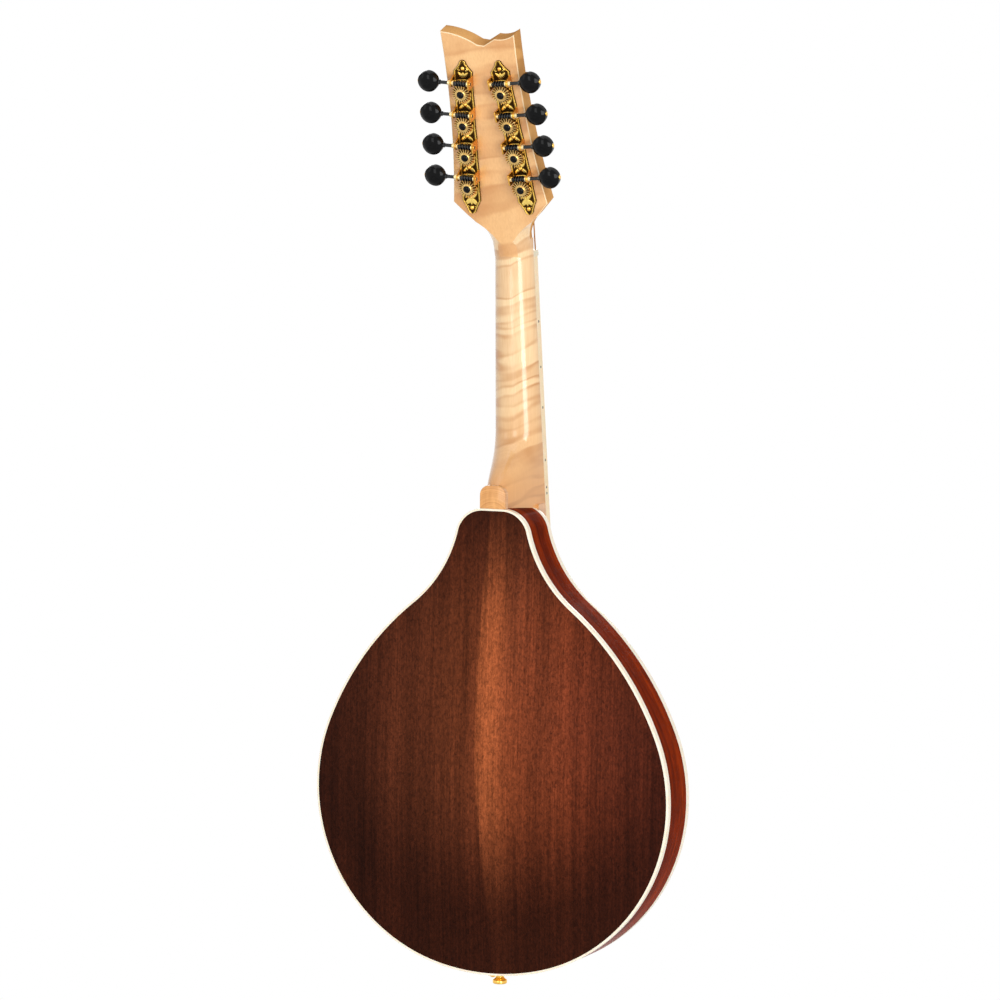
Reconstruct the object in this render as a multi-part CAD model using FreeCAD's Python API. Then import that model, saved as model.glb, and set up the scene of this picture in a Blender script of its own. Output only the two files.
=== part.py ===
import FreeCAD, Part
import math
import os

# A-style mandolin, built as separate pieces.
# Frame: +Z runs up the neck, the strings face -Y, the back faces +Y, +X is the treble side.
# The origin is on the centreline, where the fretboard surface meets the nut.
# Lengths are in millimetres and angles in degrees.

# Driving dimensions of the whole instrument
scale_length = 350.0          # nut to bridge
join_drop = 179.0             # nut to the top edge of the body
rim_depth = 42.5              # soundboard edge to back edge
rim_setback = 2.9             # nut plane back to the soundboard edge
neck_angle = 4.9
head_angle = 20.75            # pitch of the headstock, from the rim planes
overrun = 5.0                 # how far a cutter passes beyond what it cuts
slip = 0.05                   # radial running clearance of every shaft
free_gap = 0.3                # gap between pieces that must not rub

# Body outline: a chain of tangent arcs from the neck end to the tail
top_flat_half = 7.6
corner_radius = 20.9
corner_turn = 76.5
waist_radius = 97.0
waist_turn = 37.7
shoulder_radius = 217.0
shoulder_turn = 29.7
bout_radius = 130.0
bout_turn = 97.7
arch_centre_drop = 385.0      # nut to the widest part of the body

# Body shell
rib_thickness = 2.4
back_thickness = 2.6
top_thickness = 3.2
back_arch = 8.0
top_arch = 16.5
binding_width = 1.5
binding_height = 6.0
lining_width = 4.5
lining_height = 8.0
neck_block_length = 36.0
tail_block_length = 16.0
tail_block_half_width = 26.0
grid_step = 18.0              # spacing of the points that carry the arches

# Soundhole, rosette and braces
hole_drop = 272.0
hole_half_width = 28.0
hole_half_height = 19.0
rosette_margin = 3.0
rosette_width = 5.0
rosette_depth = 1.0
brace_width = 7.0
brace_height = 9.0
brace_start_drop = 312.0
brace_end_drop = 470.0
brace_offset_upper = 26.0
brace_offset_lower = 44.0
back_brace_height = 7.0
back_brace_drops = (300.0, 385.0, 455.0)
back_brace_half_spans = (78.0, 108.0, 88.0)

# Neck
nut_half_width = 14.5
neck_taper = 0.0257           # half width gained for each unit of length
fretboard_thickness = 7.2
fretboard_length = 243.0
neck_depth = 13.1             # wood behind the fretboard, at the nut
neck_overlap = 9.0            # how far the shaft runs into the headstock
heel_depth = 51.5
heel_half_width = 9.7
button_half_width = 9.85
button_height = 16.7
button_thickness = 5.0
button_corner = 7.0
tenon_length = 15.0
tenon_half_front = 6.5
tenon_half_back = 9.0
tenon_clearance = 0.15
rod_radius = 2.4
rod_length = 176.0
rod_nut_radius = 3.4
rod_nut_length = 9.0
rod_socket_radius = 2.0
rod_depth = 4.5
rod_pocket_length = 16.0

# Neck sections
shaft_swell_share = 0.14      # depth gained from the nut to the body, as a share
shaft_low_share = 0.96        # width halfway down a section's side, as a share
heel_start = 126.0            # where the shaft starts to turn into the heel
heel_end = 172.0
heel_tail = 4.0                # how far the shaft runs on past the join, into the ribs
heel_roundness_share = 0.6
head_blend = 12.0             # the shaft starts to swell this far before the nut
head_swell = 1.5
section_count = 17
section_points = 8

# Headstock, measured along its face from the nut's back edge
head_thickness = 12.8
head_face_drop = 1.2
head_length = 171.0
head_bevel = 0.8
ear_half_width = 36.2
ear_height = 41.2
tip_half_width = 28.0
flank_half_width = 29.4
flank_height = 100.0
flare_start = 9.0
flare_half_width = 14.6
flare_mid_half_width = 18.6
flare_mid_height = 21.6
flare_end_half_width = 26.6
flare_end_height = 30.8
throat_foot = 3.0             # how far the headstock's wood runs down behind the nut
throat_heights = (-8.0, 8.0, 12.0, 17.0, 22.0, 27.0, 31.0)
throat_half_widths = (14.62, 14.66, 15.5, 17.3, 20.5, 25.7, 33.0)
throat_depths = (12.8, 12.85, 13.9, 15.8, 19.4, 27.0, 44.0)
notch_drop = 10.6             # headstock top down to the notch
notch_offset = -3.9
crest_mid_drop = 3.5
crest_mid_offset = 13.0
crest_foot_offset = 1.2
horn_drop = 5.5
horn_offset = -12.6
horn_dip_drop = 5.6
horn_dip_offset = -19.5
horn_tip_drop = 2.0

# Nut, frets and dots
nut_thickness = 4.5
nut_rise = 2.0
string_rise_nut = 1.4         # string centres above the fretboard at the nut
string_rise_join = 2.3        # and at half the scale length
fret_count = 20
fret_width = 2.0
fret_height = 1.0
fret_tang_width = 0.5
fret_tang_depth = 1.8
fret_inset = 0.4
dot_radius = 2.6
dot_depth = 1.2
side_dot_radius = 1.0
double_dot_offset = 5.5
side_dot_offset = 2.2
single_dot_frets = (3, 5, 7, 10, 15)

# Strings: pairs from treble to bass
string_names = ("e_strings", "a_strings", "d_strings", "g_strings")
string_radii = (0.16, 0.22, 0.34, 0.50)
pair_gap_nut = 2.3
pair_gap_bridge = 3.0
pair_gap_tail = 3.0
outer_pair_nut = 11.3
outer_pair_bridge = 19.0
outer_pair_tail = 9.6
string_bend_radius = 3.0

# Tuners: pieces in a strip's own frame, with its origin on the headstock's back
tuner_pitch = 24.0
tuner_count = 4
strip_height = 90.5           # middle of the strip, up the headstock
strip_offset = 17.9           # middle of the strip, from the centreline
strip_tilt = 4.2
strip_half_width = 7.3
strip_half_length = 51.0
strip_waist_half_width = 6.4
strip_tip_length = 8.5
strip_tip_half_width = 2.6
strip_foot_length = 6.5
strip_foot_half_width = 4.6
strip_thickness = 1.2
ear_thickness = 1.1
ear_half_length = 4.1
ear_corner = 1.2
ear_top_rise = 2.9            # ear above the worm axis
bush_radius = 1.95
bush_reach = 1.4
bush_outer_reach = 2.0
bush_inner_reach = 0.3
worm_height = 7.0             # worm axis behind the headstock
worm_pitch = 2.0
worm_root_radius = 1.2
worm_crest_radius = 2.45
worm_root_width = 1.0
worm_crest_width = 0.45
worm_stations = 16            # flat steps in one turn of the thread
worm_shaft_radius = 1.3
gear_teeth = 20
gear_outer_radius = 6.9
gear_root_radius = 5.55
gear_tip_width = 0.4
gear_root_width = 0.95
gear_width = 2.4
mesh_distance = 8.2           # gear axis to worm axis
gear_hub_radius = 3.6
gear_bore_radius = 2.0
washer_radius = 3.4
washer_thickness = 0.5
gear_screw_radius = 2.5
gear_screw_rise = 1.3
gear_screw_shank_radius = 0.9
gear_screw_length = 6.0
key_reach = 24.0              # strip axis to the middle of the button
key_half_width = 7.6
key_half_thickness = 4.3
key_rim_half_thickness = 1.6
key_neck_radius = 2.3
key_neck_tip_radius = 1.6
key_neck_start = 8.7          # middle of the button to the tip of its neck
key_bend_share = 0.72         # a point on the button's bulge, as shares of its half width
key_crown_share = 0.78        # and of its half thickness
key_cap_radius = 1.5
key_cap_rise = 0.5
post_radius = 3.0
post_journal_radius = 2.3
post_reach = 15.5             # post in front of the headstock face
post_waist_radius = 2.6
post_waist_length = 5.0
post_waist_start = 6.5
post_hole_radius = 0.6
bushing_radius = 4.2
bushing_flange_radius = 5.2
bushing_flange_thickness = 1.0
bushing_length = 7.0
screw_head_radius = 1.6
screw_head_rise = 0.9
screw_shank_radius = 0.8
screw_length = 8.0

# Bridge
bridge_half_length = 55.0
bridge_width = 12.0
bridge_base_height = 7.0      # foot at its middle, above the top's crown
bridge_foot_length = 34.0
bridge_hollow = 2.5
stud_offset = 36.5
stud_radius = 1.6
stud_length = 14.0
stud_seat_depth = 4.0
thumbwheel_radius = 6.0
thumbwheel_thickness = 2.2
thumbwheel_gap = 1.6
thumbwheel_notches = 12
saddle_half_length = 48.0
saddle_width = 8.0
saddle_top_width = 3.0
saddle_end_drop = 4.5
saddle_string_sink = 0.35
saddle_lift_low = 0.7

# Tailpiece and strap button
tail_leg_length = 39.0
tail_leg_half_top = 13.0
tail_leg_half_low = 5.5
tail_leg_shoulder = 11.7       # where the leg starts to narrow
tail_sheet = 1.2
tail_plate_length = 60.0
tail_plate_tilt = 9.5
tail_hook_radius = 0.9
tail_hook_height = 4.4
tail_hook_share = 0.45        # place of the hooks along the plate
tail_hook_stagger = 5.0
cover_length = 54.0
cover_half_width = 14.8
cover_wall = 1.0
cover_side_height = 7.0
cover_crown = 10.5
cover_skirt = 0.8
tail_screw_head_radius = 2.4
tail_screw_head_rise = 1.5
tail_screw_shank_radius = 1.3
tail_screw_length = 9.0
tail_screw_upper_offset = 7.5
tail_screw_upper_depth = 8.5
tail_screw_lower_depth = 34.6
strap_head_radius = 5.2
strap_head_length = 2.2
strap_head_crown = 0.9
strap_stem_radius = 3.0
strap_flange_radius = 4.4
strap_flange_length = 1.2
strap_stem_length = 4.0
strap_peg_radius = 2.6
strap_peg_length = 12.0

V = FreeCAD.Vector
x_way = V(1, 0, 0)
y_way = V(0, 1, 0)
z_way = V(0, 0, 1)

# Worked-out places
tan_neck = math.tan(math.radians(neck_angle))
cos_neck = math.cos(math.radians(neck_angle))
tan_head = math.tan(math.radians(head_angle))
body_top_z = -join_drop
top_plane_y = rim_setback
back_plane_y = rim_setback + rim_depth
neck_face_y = fretboard_thickness / cos_neck
head_root_y = neck_face_y + nut_thickness * tan_neck + head_face_drop
neck_frame = FreeCAD.Placement(V(0, 0, 0), FreeCAD.Rotation(x_way, -neck_angle))
head_frame = FreeCAD.Placement(V(0, head_root_y, nut_thickness), FreeCAD.Rotation(x_way, -head_angle))
made = {}


def add(name, solids):
    """Keep one node: a solid, or a group of separate solids."""
    made[name] = solids if isinstance(solids, list) else [solids]


def box(x0, x1, y0, y1, z0, z1):
    return Part.makeBox(x1 - x0, y1 - y0, z1 - z0, V(x0, y0, z0))


def rod(radius, length, base, way):
    return Part.makeCylinder(radius, length, base, way)


def polygon_face(points):
    return Part.Face(Part.makePolygon(points + [points[0]]))


def placed(shape, place):
    moved = shape.copy()
    moved.Placement = place.multiply(moved.Placement)
    return moved


def mirrored(shape):
    return shape.mirror(V(0, 0, 0), x_way)


def one_solid(shape):
    """The largest solid of a result, so that a sliver left by a cut is dropped."""
    return max(shape.Solids, key=lambda solid: solid.Volume)


# Body outline

def outline_arcs(inset):
    """Arcs of the half outline, moved inwards by inset: centre, radius, start heading, turn."""
    steps = (
        (corner_radius, corner_turn, -1),
        (waist_radius, waist_turn, 1),
        (shoulder_radius, shoulder_turn, -1),
        (bout_radius, bout_turn, -1),
    )
    x, z, heading = top_flat_half, body_top_z, 0.0
    arcs = []
    for radius, turn, side in steps:
        toward = math.radians(heading + 90 * side)
        cx = x + radius * math.cos(toward)
        cz = z + radius * math.sin(toward)
        arcs.append((cx, cz, radius + side * inset, heading, turn * side, side))
        heading += turn * side
        toward = math.radians(heading + 90 * side)
        x = cx - radius * math.cos(toward)
        z = cz - radius * math.sin(toward)
    last_turn = 180 + heading
    tail_radius = x / math.sin(math.radians(last_turn))
    cz = z + tail_radius * math.cos(math.radians(last_turn))
    arcs.append((0.0, cz, tail_radius - inset, heading, -last_turn, -1))
    return arcs


def arc_point(arc, share):
    cx, cz, radius, heading, turn, side = arc
    toward = math.radians(heading + turn * share + 90 * side)
    return V(cx - radius * math.cos(toward), 0, cz - radius * math.sin(toward))


def outline_wire(inset):
    """The closed outline in the plane y = 0."""
    arcs = outline_arcs(inset)
    half = [Part.Arc(arc_point(arc, 0), arc_point(arc, 0.5), arc_point(arc, 1)).toShape() for arc in arcs]
    start = arc_point(arcs[0], 0)
    flat = Part.makeLine(V(-start.x, 0, start.z), start)
    other = [mirrored(edge) for edge in half]
    return Part.Wire(Part.__sortEdges__([flat] + half + other))


def outline_prism(inset, y0, y1):
    face = Part.Face(outline_wire(inset))
    face.translate(V(0, y0, 0))
    return face.extrude(V(0, y1 - y0, 0))


tail_z = arc_point(outline_arcs(0)[-1], 1).z


def outline_reach():
    """Distance from the arch centre to the outline, by direction, on closely spaced points."""
    table = []
    steps = 24
    for arc in outline_arcs(0):
        for i in range(steps + 1):
            point = arc_point(arc, i / steps)
            dx, dz = point.x, point.z + arch_centre_drop
            table.append((math.atan2(dx, dz), math.hypot(dx, dz)))
    table.append((0.0, join_drop_reach))
    return sorted(table)


join_drop_reach = arch_centre_drop - join_drop
reach_table = outline_reach()


def arch_share(x, z):
    """Height of the arch at a point, as a share of its full height."""
    dx, dz = abs(x), z + arch_centre_drop
    angle = math.atan2(dx, dz)
    reach = reach_table[-1][1]
    for (a0, r0), (a1, r1) in zip(reach_table, reach_table[1:]):
        if a0 <= angle <= a1:
            reach = r0 if a1 == a0 else r0 + (r1 - r0) * (angle - a0) / (a1 - a0)
            break
    ratio = min(1.0, math.hypot(dx, dz) / reach)
    return (1 - ratio * ratio) ** 2


def arch_face(base_y, height):
    """A smooth surface over the whole body, at base_y plus the arch."""
    half_span = bout_radius + grid_step
    columns = 2 * int(half_span / grid_step) + 1
    rows = int((body_top_z - tail_z) / grid_step) + 3
    z_low = tail_z - overrun
    z_high = body_top_z + overrun
    points = []
    for i in range(columns):
        x = -half_span + 2 * half_span * i / (columns - 1)
        line = []
        for j in range(rows):
            z = z_low + (z_high - z_low) * j / (rows - 1)
            line.append(V(x, base_y + height * arch_share(x, z), z))
        points.append(line)
    surface = Part.BSplineSurface()
    surface.interpolate(points)
    return surface.toShape()


def arched_layer(base_y, height, thickness):
    return arch_face(base_y, height).extrude(V(0, thickness, 0))


def make_body():
    """Plates, ribs, bindings, linings and blocks."""
    inner_top_y = top_plane_y + top_thickness
    inner_back_y = back_plane_y - back_thickness
    plate = binding_width
    back = arched_layer(back_plane_y, back_arch, -back_thickness)
    back = back.common(outline_prism(plate, inner_back_y - overrun, back_plane_y + back_arch + overrun))
    add("back_plate", one_solid(back))

    ring = outline_prism(0, inner_top_y, inner_back_y).cut(outline_prism(rib_thickness, inner_top_y, inner_back_y))
    for y0, y1 in ((inner_top_y, top_plane_y + binding_height), (back_plane_y - binding_height, inner_back_y)):
        ledge = outline_prism(0, y0, y1).cut(outline_prism(binding_width, y0, y1))
        ring = ring.cut(ledge)
    ring = ring.cut(tenon(tenon_clearance))
    for cutter in tail_holes():
        ring = ring.cut(cutter)
    add("rib_sides", one_solid(ring))

    for name, y0, y1 in (
        ("back_binding", back_plane_y - binding_height, back_plane_y),
        ("top_binding", top_plane_y, top_plane_y + binding_height),
    ):
        band = outline_prism(0, y0, y1).cut(outline_prism(binding_width, y0, y1))
        add(name, one_solid(band))

    core = outline_prism(rib_thickness, inner_top_y, inner_back_y)
    neck_block_z = body_top_z - rib_thickness - neck_block_length
    tail_block_z = tail_z + rib_thickness + tail_block_length
    span = bout_radius + overrun
    neck_block = core.common(box(-span, span, inner_top_y, inner_back_y, neck_block_z, body_top_z))
    add("neck_block", one_solid(neck_block.cut(tenon(tenon_clearance))))
    tail_half = tail_block_half_width
    tail_block = core.common(box(-tail_half, tail_half, inner_top_y, inner_back_y, tail_z, tail_block_z))
    for cutter in tail_holes():
        tail_block = tail_block.cut(cutter)
    add("tail_block", one_solid(tail_block))

    strips = []
    for y0, y1 in ((inner_top_y, inner_top_y + lining_height), (inner_back_y - lining_height, inner_back_y)):
        band = outline_prism(rib_thickness, y0, y1).cut(outline_prism(rib_thickness + lining_width, y0, y1))
        band = band.cut(box(-span, span, y0, y1, neck_block_z, body_top_z + overrun))
        band = band.cut(box(-tail_half, tail_half, y0, y1, tail_z - overrun, tail_block_z))
        strips += band.Solids
    add("linings", strips)


def make_top():
    """Soundboard with its soundhole, and the rosette let into it."""
    layer = arched_layer(top_plane_y, -top_arch, top_thickness)
    high_y = top_plane_y - top_arch - overrun
    low_y = top_plane_y + top_thickness + overrun
    top = layer.common(outline_prism(binding_width, high_y, low_y))
    inner = rosette_margin
    outer = rosette_margin + rosette_width
    skin = arched_layer(top_plane_y, -top_arch, rosette_depth)
    rosette = skin.common(oval_prism(outer, high_y, low_y).cut(oval_prism(inner, high_y, low_y)))
    top = top.cut(oval_prism(0, high_y, low_y)).cut(rosette)
    add("top_plate", one_solid(top))
    add("rosette", one_solid(rosette))


def oval_prism(grow, y0, y1):
    ellipse = Part.Ellipse(V(0, 0, 0), hole_half_width + grow, hole_half_height + grow)
    face = Part.Face(Part.Wire(ellipse.toShape()))
    face.rotate(V(0, 0, 0), x_way, 90)
    face.translate(V(0, y0, -hole_drop))
    return face.extrude(V(0, y1 - y0, 0))


def make_braces():
    """Two tone bars under the soundboard and three cross bars on the back."""
    inner_top_y = top_plane_y + top_thickness
    above = arched_layer(inner_top_y, -top_arch, -(top_arch + 4 * overrun))
    bars = []
    for side in (-1, 1):
        upper = V(side * brace_offset_upper, 0, -brace_start_drop)
        lower = V(side * brace_offset_lower, 0, -brace_end_drop)
        along = (upper - lower).normalize()
        across = along.cross(y_way) * (brace_width / 2)
        foot = polygon_face([lower - across, lower + across, upper + across, upper - across])
        foot.translate(V(0, inner_top_y - top_arch, 0))
        bar = foot.extrude(V(0, top_arch + brace_height - lining_height / 2, 0)).cut(above)
        limit = arched_layer(inner_top_y + brace_height, -top_arch, top_arch + 4 * overrun)
        bars.append(one_solid(bar.cut(limit)))
    inner_back_y = back_plane_y - back_thickness
    outside = arched_layer(inner_back_y, back_arch, back_arch + 4 * overrun)
    beneath = arched_layer(inner_back_y - back_brace_height, back_arch, -(back_arch + 4 * overrun))
    for drop, span in zip(back_brace_drops, back_brace_half_spans):
        half = brace_width / 2
        low_y = inner_back_y - back_brace_height - overrun
        bar = box(-span, span, low_y, inner_back_y + back_arch + overrun, -drop - half, -drop + half)
        bars.append(one_solid(bar.cut(outside).cut(beneath)))
    add("braces", bars)


# Neck

def tenon(grow):
    """The dovetail that joins the neck to its block."""
    z0 = body_top_z + (overrun if grow else 0)
    z1 = body_top_z - rib_thickness - tenon_length - grow
    front = tenon_half_front + grow
    back = tenon_half_back + grow
    y0 = top_plane_y + top_thickness
    y1 = back_plane_y - back_thickness
    face = polygon_face([V(-front, y0, z0), V(front, y0, z0), V(back, y0, z1), V(-back, y0, z1)])
    return face.extrude(V(0, y1 - y0, 0))


def neck_half_width(drop):
    return nut_half_width + neck_taper * max(0.0, drop)


def neck_section(z, depth, low_half, roundness):
    """One cross-section: flat under the fretboard and rounded behind."""
    top_y = neck_face_y + z * tan_neck
    half = neck_half_width(-z)
    points = []
    for i in range(section_points + 1):
        angle = math.pi * i / section_points
        c, s = math.cos(angle), max(0.0, math.sin(angle))
        rise = s ** roundness
        width = half + (low_half - half) * rise
        points.append(V(math.copysign(abs(c) ** roundness, c) * width, top_y + depth * rise, z))
    points[0] = V(half, top_y, z)
    points[-1] = V(-half, top_y, z)
    curve = Part.BSplineCurve()
    curve.interpolate(points)
    return Part.Wire([Part.makeLine(points[-1], points[0]), curve.toShape()])


def smooth_step(value):
    share = min(1.0, max(0.0, value))
    return share * share * (3 - 2 * share)


def neck_shaft():
    """Shaft and heel: evenly spaced sections that swell into the heel and into the headstock."""
    high_z = nut_thickness + neck_overlap
    sections = []
    for i in range(section_count + 1):
        z = high_z + (body_top_z - heel_tail - high_z) * i / section_count
        heel = smooth_step((-z - heel_start) / (heel_end - heel_start))
        head = max(0.0, (z + head_blend) / (high_z + head_blend)) ** 2
        shaft = neck_depth * (1 + shaft_swell_share * max(0.0, -z) / join_drop)
        depth = shaft + (heel_depth - shaft) * heel + head_swell * head
        low_half = neck_half_width(-z) * shaft_low_share
        low_half += (heel_half_width - low_half) * heel
        roundness = 1 - (1 - heel_roundness_share) * heel
        sections.append(neck_section(z, depth, low_half, roundness))
    shaft = Part.makeLoft(sections, True, False)
    return shaft.cut(outline_prism(0, top_plane_y - overrun, back_plane_y + overrun))


def heel_button():
    """The flat end of the heel, level with the back."""
    z1 = body_top_z + button_height
    half = button_half_width
    face = Part.Face(Part.Wire([
        Part.makeLine(V(half, 0, body_top_z), V(half, 0, z1 - button_corner)),
        round_corner(half, z1, 1),
        Part.makeLine(V(half - button_corner, 0, z1), V(button_corner - half, 0, z1)),
        round_corner(half, z1, -1),
        Part.makeLine(V(-half, 0, z1 - button_corner), V(-half, 0, body_top_z)),
        Part.makeLine(V(-half, 0, body_top_z), V(half, 0, body_top_z)),
    ]))
    face.translate(V(0, back_plane_y - button_thickness, 0))
    return face.extrude(V(0, button_thickness, 0))


def round_corner(half, z1, side):
    bend = button_corner * (1 - math.cos(math.radians(45)))
    start = V(side * half, 0, z1 - button_corner)
    middle = V(side * (half - bend), 0, z1 - bend)
    end = V(side * (half - button_corner), 0, z1)
    ends = (start, middle, end) if side > 0 else (end, middle, start)
    return Part.Arc(*ends).toShape()


def head_outline():
    """Headstock outline in its own plane, y = 0."""
    def at(x, z):
        return V(x, 0, z)

    top = head_length
    ear_r, ear_l = at(ear_half_width, ear_height), at(-ear_half_width, ear_height)
    tip_r, tip_l = at(tip_half_width, top), at(-tip_half_width, top - horn_tip_drop)
    notch = at(notch_offset, top - notch_drop)
    foot = at(crest_foot_offset, top - notch_drop + head_bevel)
    horn = at(horn_offset, top - horn_drop)
    edges = [
        Part.Arc(ear_r, at(flank_half_width, flank_height), tip_r).toShape(),
        Part.Arc(tip_r, at(crest_mid_offset, top - crest_mid_drop), foot).toShape(),
        Part.makeLine(foot, notch),
        Part.makeLine(notch, horn),
        Part.Arc(horn, at(horn_dip_offset, top - horn_dip_drop), tip_l).toShape(),
        Part.Arc(tip_l, at(-flank_half_width, flank_height), ear_l).toShape(),
    ]
    feet = []
    for side in (-1, 1):
        flare_end = at(side * flare_end_half_width, flare_end_height)
        start = at(side * flare_half_width, flare_start)
        middle = at(side * flare_mid_half_width, flare_mid_height)
        edges.append(Part.makeLine(at(side * ear_half_width, ear_height), flare_end))
        edges.append(Part.Arc(flare_end, middle, start).toShape())
        foot = at(side * flare_half_width, -throat_foot)
        edges.append(Part.makeLine(start, foot))
        feet.append(foot)
    edges.append(Part.makeLine(feet[0], feet[1]))
    return Part.Wire(Part.__sortEdges__(edges))


def throat():
    """Space that the headstock fills: it opens from the neck's round back to the full slab."""
    wires = []
    for height, half, depth in zip(throat_heights, throat_half_widths, throat_depths):
        bow = Part.Arc(V(half, 0, height), V(0, half, height), V(-half, 0, height)).toShape()
        bow = bow.toNurbs().Edges[0]
        stretch = FreeCAD.Matrix()
        stretch.scale(V(1, depth / half, 1))
        bow = bow.transformGeometry(stretch).Edges[0]
        low = [V(-half, 0, height), V(-half, -overrun, height), V(half, -overrun, height), V(half, 0, height)]
        wires.append(Part.Wire([bow] + [Part.makeLine(a, b) for a, b in zip(low, low[1:])]))
    opening = Part.makeLoft(wires, True, False)
    reach = ear_half_width + overrun
    above = box(-reach, reach, -overrun, head_thickness + overrun, throat_heights[-1], head_length + overrun)
    return opening.fuse(above)


def headstock():
    slab = Part.Face(head_outline()).extrude(V(0, head_thickness, 0))
    rim = [edge for edge in slab.Edges
           if abs(edge.BoundBox.YMin - head_thickness) < head_bevel / 10
           and edge.BoundBox.ZMax > ear_height + head_bevel]
    slab = slab.makeChamfer(head_bevel, rim).common(throat())
    return placed(one_solid(slab), head_frame)


def strip_frame(index):
    """Frame of one tuner on the treble strip: origin at the gear axis, on the headstock's back."""
    tuner = FreeCAD.Placement(V(0, 0, tuner_lift(index)), FreeCAD.Rotation())
    return strip_placement().multiply(tuner)


def make_neck():
    shaft = neck_shaft()
    far = scale_length
    front = -neck_face_y - overrun
    face_high_y = head_root_y + far * tan_head
    clear = polygon_face([
        V(0, front, nut_thickness),
        V(0, head_root_y, nut_thickness),
        V(0, face_high_y, nut_thickness + far),
        V(0, front, nut_thickness + far),
    ])
    clear.translate(V(-far / 2, 0, 0))
    shaft = shaft.cut(clear.extrude(V(far, 0, 0)))
    neck = shaft.fuse([headstock(), heel_button(), riser(), tenon(0)])
    neck = neck.removeSplitter()
    neck = neck.cut(rod_space())
    for name in ("back_binding", "top_binding"):
        neck = neck.cut(made[name][0])
    for index in range(tuner_count):
        hole = rod(post_radius + free_gap, head_thickness + 2 * overrun, V(0, -head_thickness - overrun, 0), y_way)
        seat = rod(bushing_radius, bushing_length + overrun, V(0, -head_thickness - overrun, 0), y_way)
        cutter = placed(hole.fuse(seat), strip_frame(index))
        neck = neck.cut(cutter).cut(mirrored(cutter))
    for cutter in screw_shanks():
        neck = neck.cut(cutter)
    add("neck", one_solid(neck))


def riser():
    """Neck extension that carries the fretboard over the body."""
    z1 = -fretboard_length + fret_width
    y0 = neck_face_y + z1 * tan_neck
    y1 = neck_face_y + body_top_z * tan_neck
    block = polygon_face([
        V(0, y1, body_top_z),
        V(0, top_plane_y, body_top_z),
        V(0, top_plane_y, z1),
        V(0, y0, z1),
    ])
    reach = neck_half_width(fretboard_length)
    block.translate(V(-reach, 0, 0))
    block = block.extrude(V(2 * reach, 0, 0))
    sides = taper_prism(0, fretboard_length + overrun, -overrun, neck_depth + top_arch)
    under = arched_layer(top_plane_y, -top_arch, top_arch + overrun)
    return block.common(placed(sides, neck_frame)).cut(under)


def rod_space():
    """Channel for the truss rod under the fretboard and its open pocket behind the nut."""
    channel = rod(rod_radius + free_gap / 2, rod_length, V(0, fretboard_thickness + rod_depth, -rod_length), z_way)
    pocket = rod(rod_nut_radius + free_gap, rod_pocket_length, V(0, fretboard_thickness + rod_depth, 0), z_way)
    slot = box(-rod_nut_radius, rod_nut_radius, 0, fretboard_thickness + rod_depth,
               nut_thickness, rod_pocket_length)
    return placed(channel.fuse([pocket, slot]), neck_frame)


def make_truss_rod():
    centre_y = fretboard_thickness + rod_depth
    bar = rod(rod_radius, rod_length - free_gap, V(0, centre_y, free_gap - rod_length), z_way)
    nut = rod(rod_nut_radius, rod_nut_length, V(0, centre_y, free_gap), z_way)
    nut = nut.cut(hexagon(rod_socket_radius, rod_nut_length, centre_y))
    add("truss_rod", [placed(bar, neck_frame), placed(nut, neck_frame)])


def hexagon(radius, length, centre_y):
    """Socket of the adjusting nut."""
    corners = []
    for i in range(6):
        angle = math.radians(60 * i)
        corners.append(V(radius * math.cos(angle), centre_y + radius * math.sin(angle), length / 2))
    return polygon_face(corners).extrude(V(0, 0, length))


# Fretboard

def fret_place(number):
    return scale_length * (1 - 2 ** (-number / 12))


def taper_prism(inset, end_drop, y0, y1):
    """Tapered board in the neck's own frame."""
    near = neck_half_width(0) - inset
    far = neck_half_width(end_drop) - inset
    face = polygon_face([V(near, y0, 0), V(far, y0, -end_drop), V(-far, y0, -end_drop), V(-near, y0, 0)])
    return face.extrude(V(0, y1 - y0, 0))


def fret_wire(number):
    """One fret: a rounded crown over a thin tang."""
    drop = fret_place(number)
    half = neck_half_width(drop) - fret_inset
    crown = Part.Arc(V(-half, 0, -drop + fret_width / 2), V(-half, -fret_height, -drop),
                     V(-half, 0, -drop - fret_width / 2)).toShape()
    flat = Part.makeLine(V(-half, 0, -drop - fret_width / 2), V(-half, 0, -drop + fret_width / 2))
    bead = Part.Face(Part.Wire([crown, flat])).extrude(V(2 * half, 0, 0))
    inner = half - binding_width
    tang = box(-inner, inner, 0, fret_tang_depth, -drop - fret_tang_width / 2, -drop + fret_tang_width / 2)
    return bead.fuse(tang).removeSplitter(), tang


def make_fretboard():
    board = taper_prism(binding_width, fretboard_length - binding_width, 0, fretboard_thickness)
    edge = taper_prism(0, fretboard_length, 0, fretboard_thickness).cut(board)
    frets = []
    for number in range(1, fret_count + 1):
        wire, tang = fret_wire(number)
        frets.append(placed(one_solid(wire), neck_frame))
        board = board.cut(tang)
    dots = []
    for number in single_dot_frets + (12,):
        drop = (fret_place(number) + fret_place(number - 1)) / 2
        spots = (-double_dot_offset, double_dot_offset) if number == 12 else (0.0,)
        for x in spots:
            dot = rod(dot_radius, dot_depth, V(x, 0, -drop), y_way)
            board = board.cut(dot)
            dots.append(placed(dot, neck_frame))
        shifts = (-side_dot_offset, side_dot_offset) if number == 12 else (0.0,)
        for shift in shifts:
            half = neck_half_width(drop)
            base = V(-half - overrun, fretboard_thickness / 2, -drop + shift)
            dot = rod(side_dot_radius, overrun + binding_width, base, x_way).common(edge)
            edge = edge.cut(dot)
            dots.append(placed(one_solid(dot), neck_frame))
    add("fretboard", placed(one_solid(board), neck_frame))
    add("fretboard_binding", placed(one_solid(edge), neck_frame))
    add("frets", frets)
    add("position_dots", dots)


# Strings and what carries them

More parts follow.
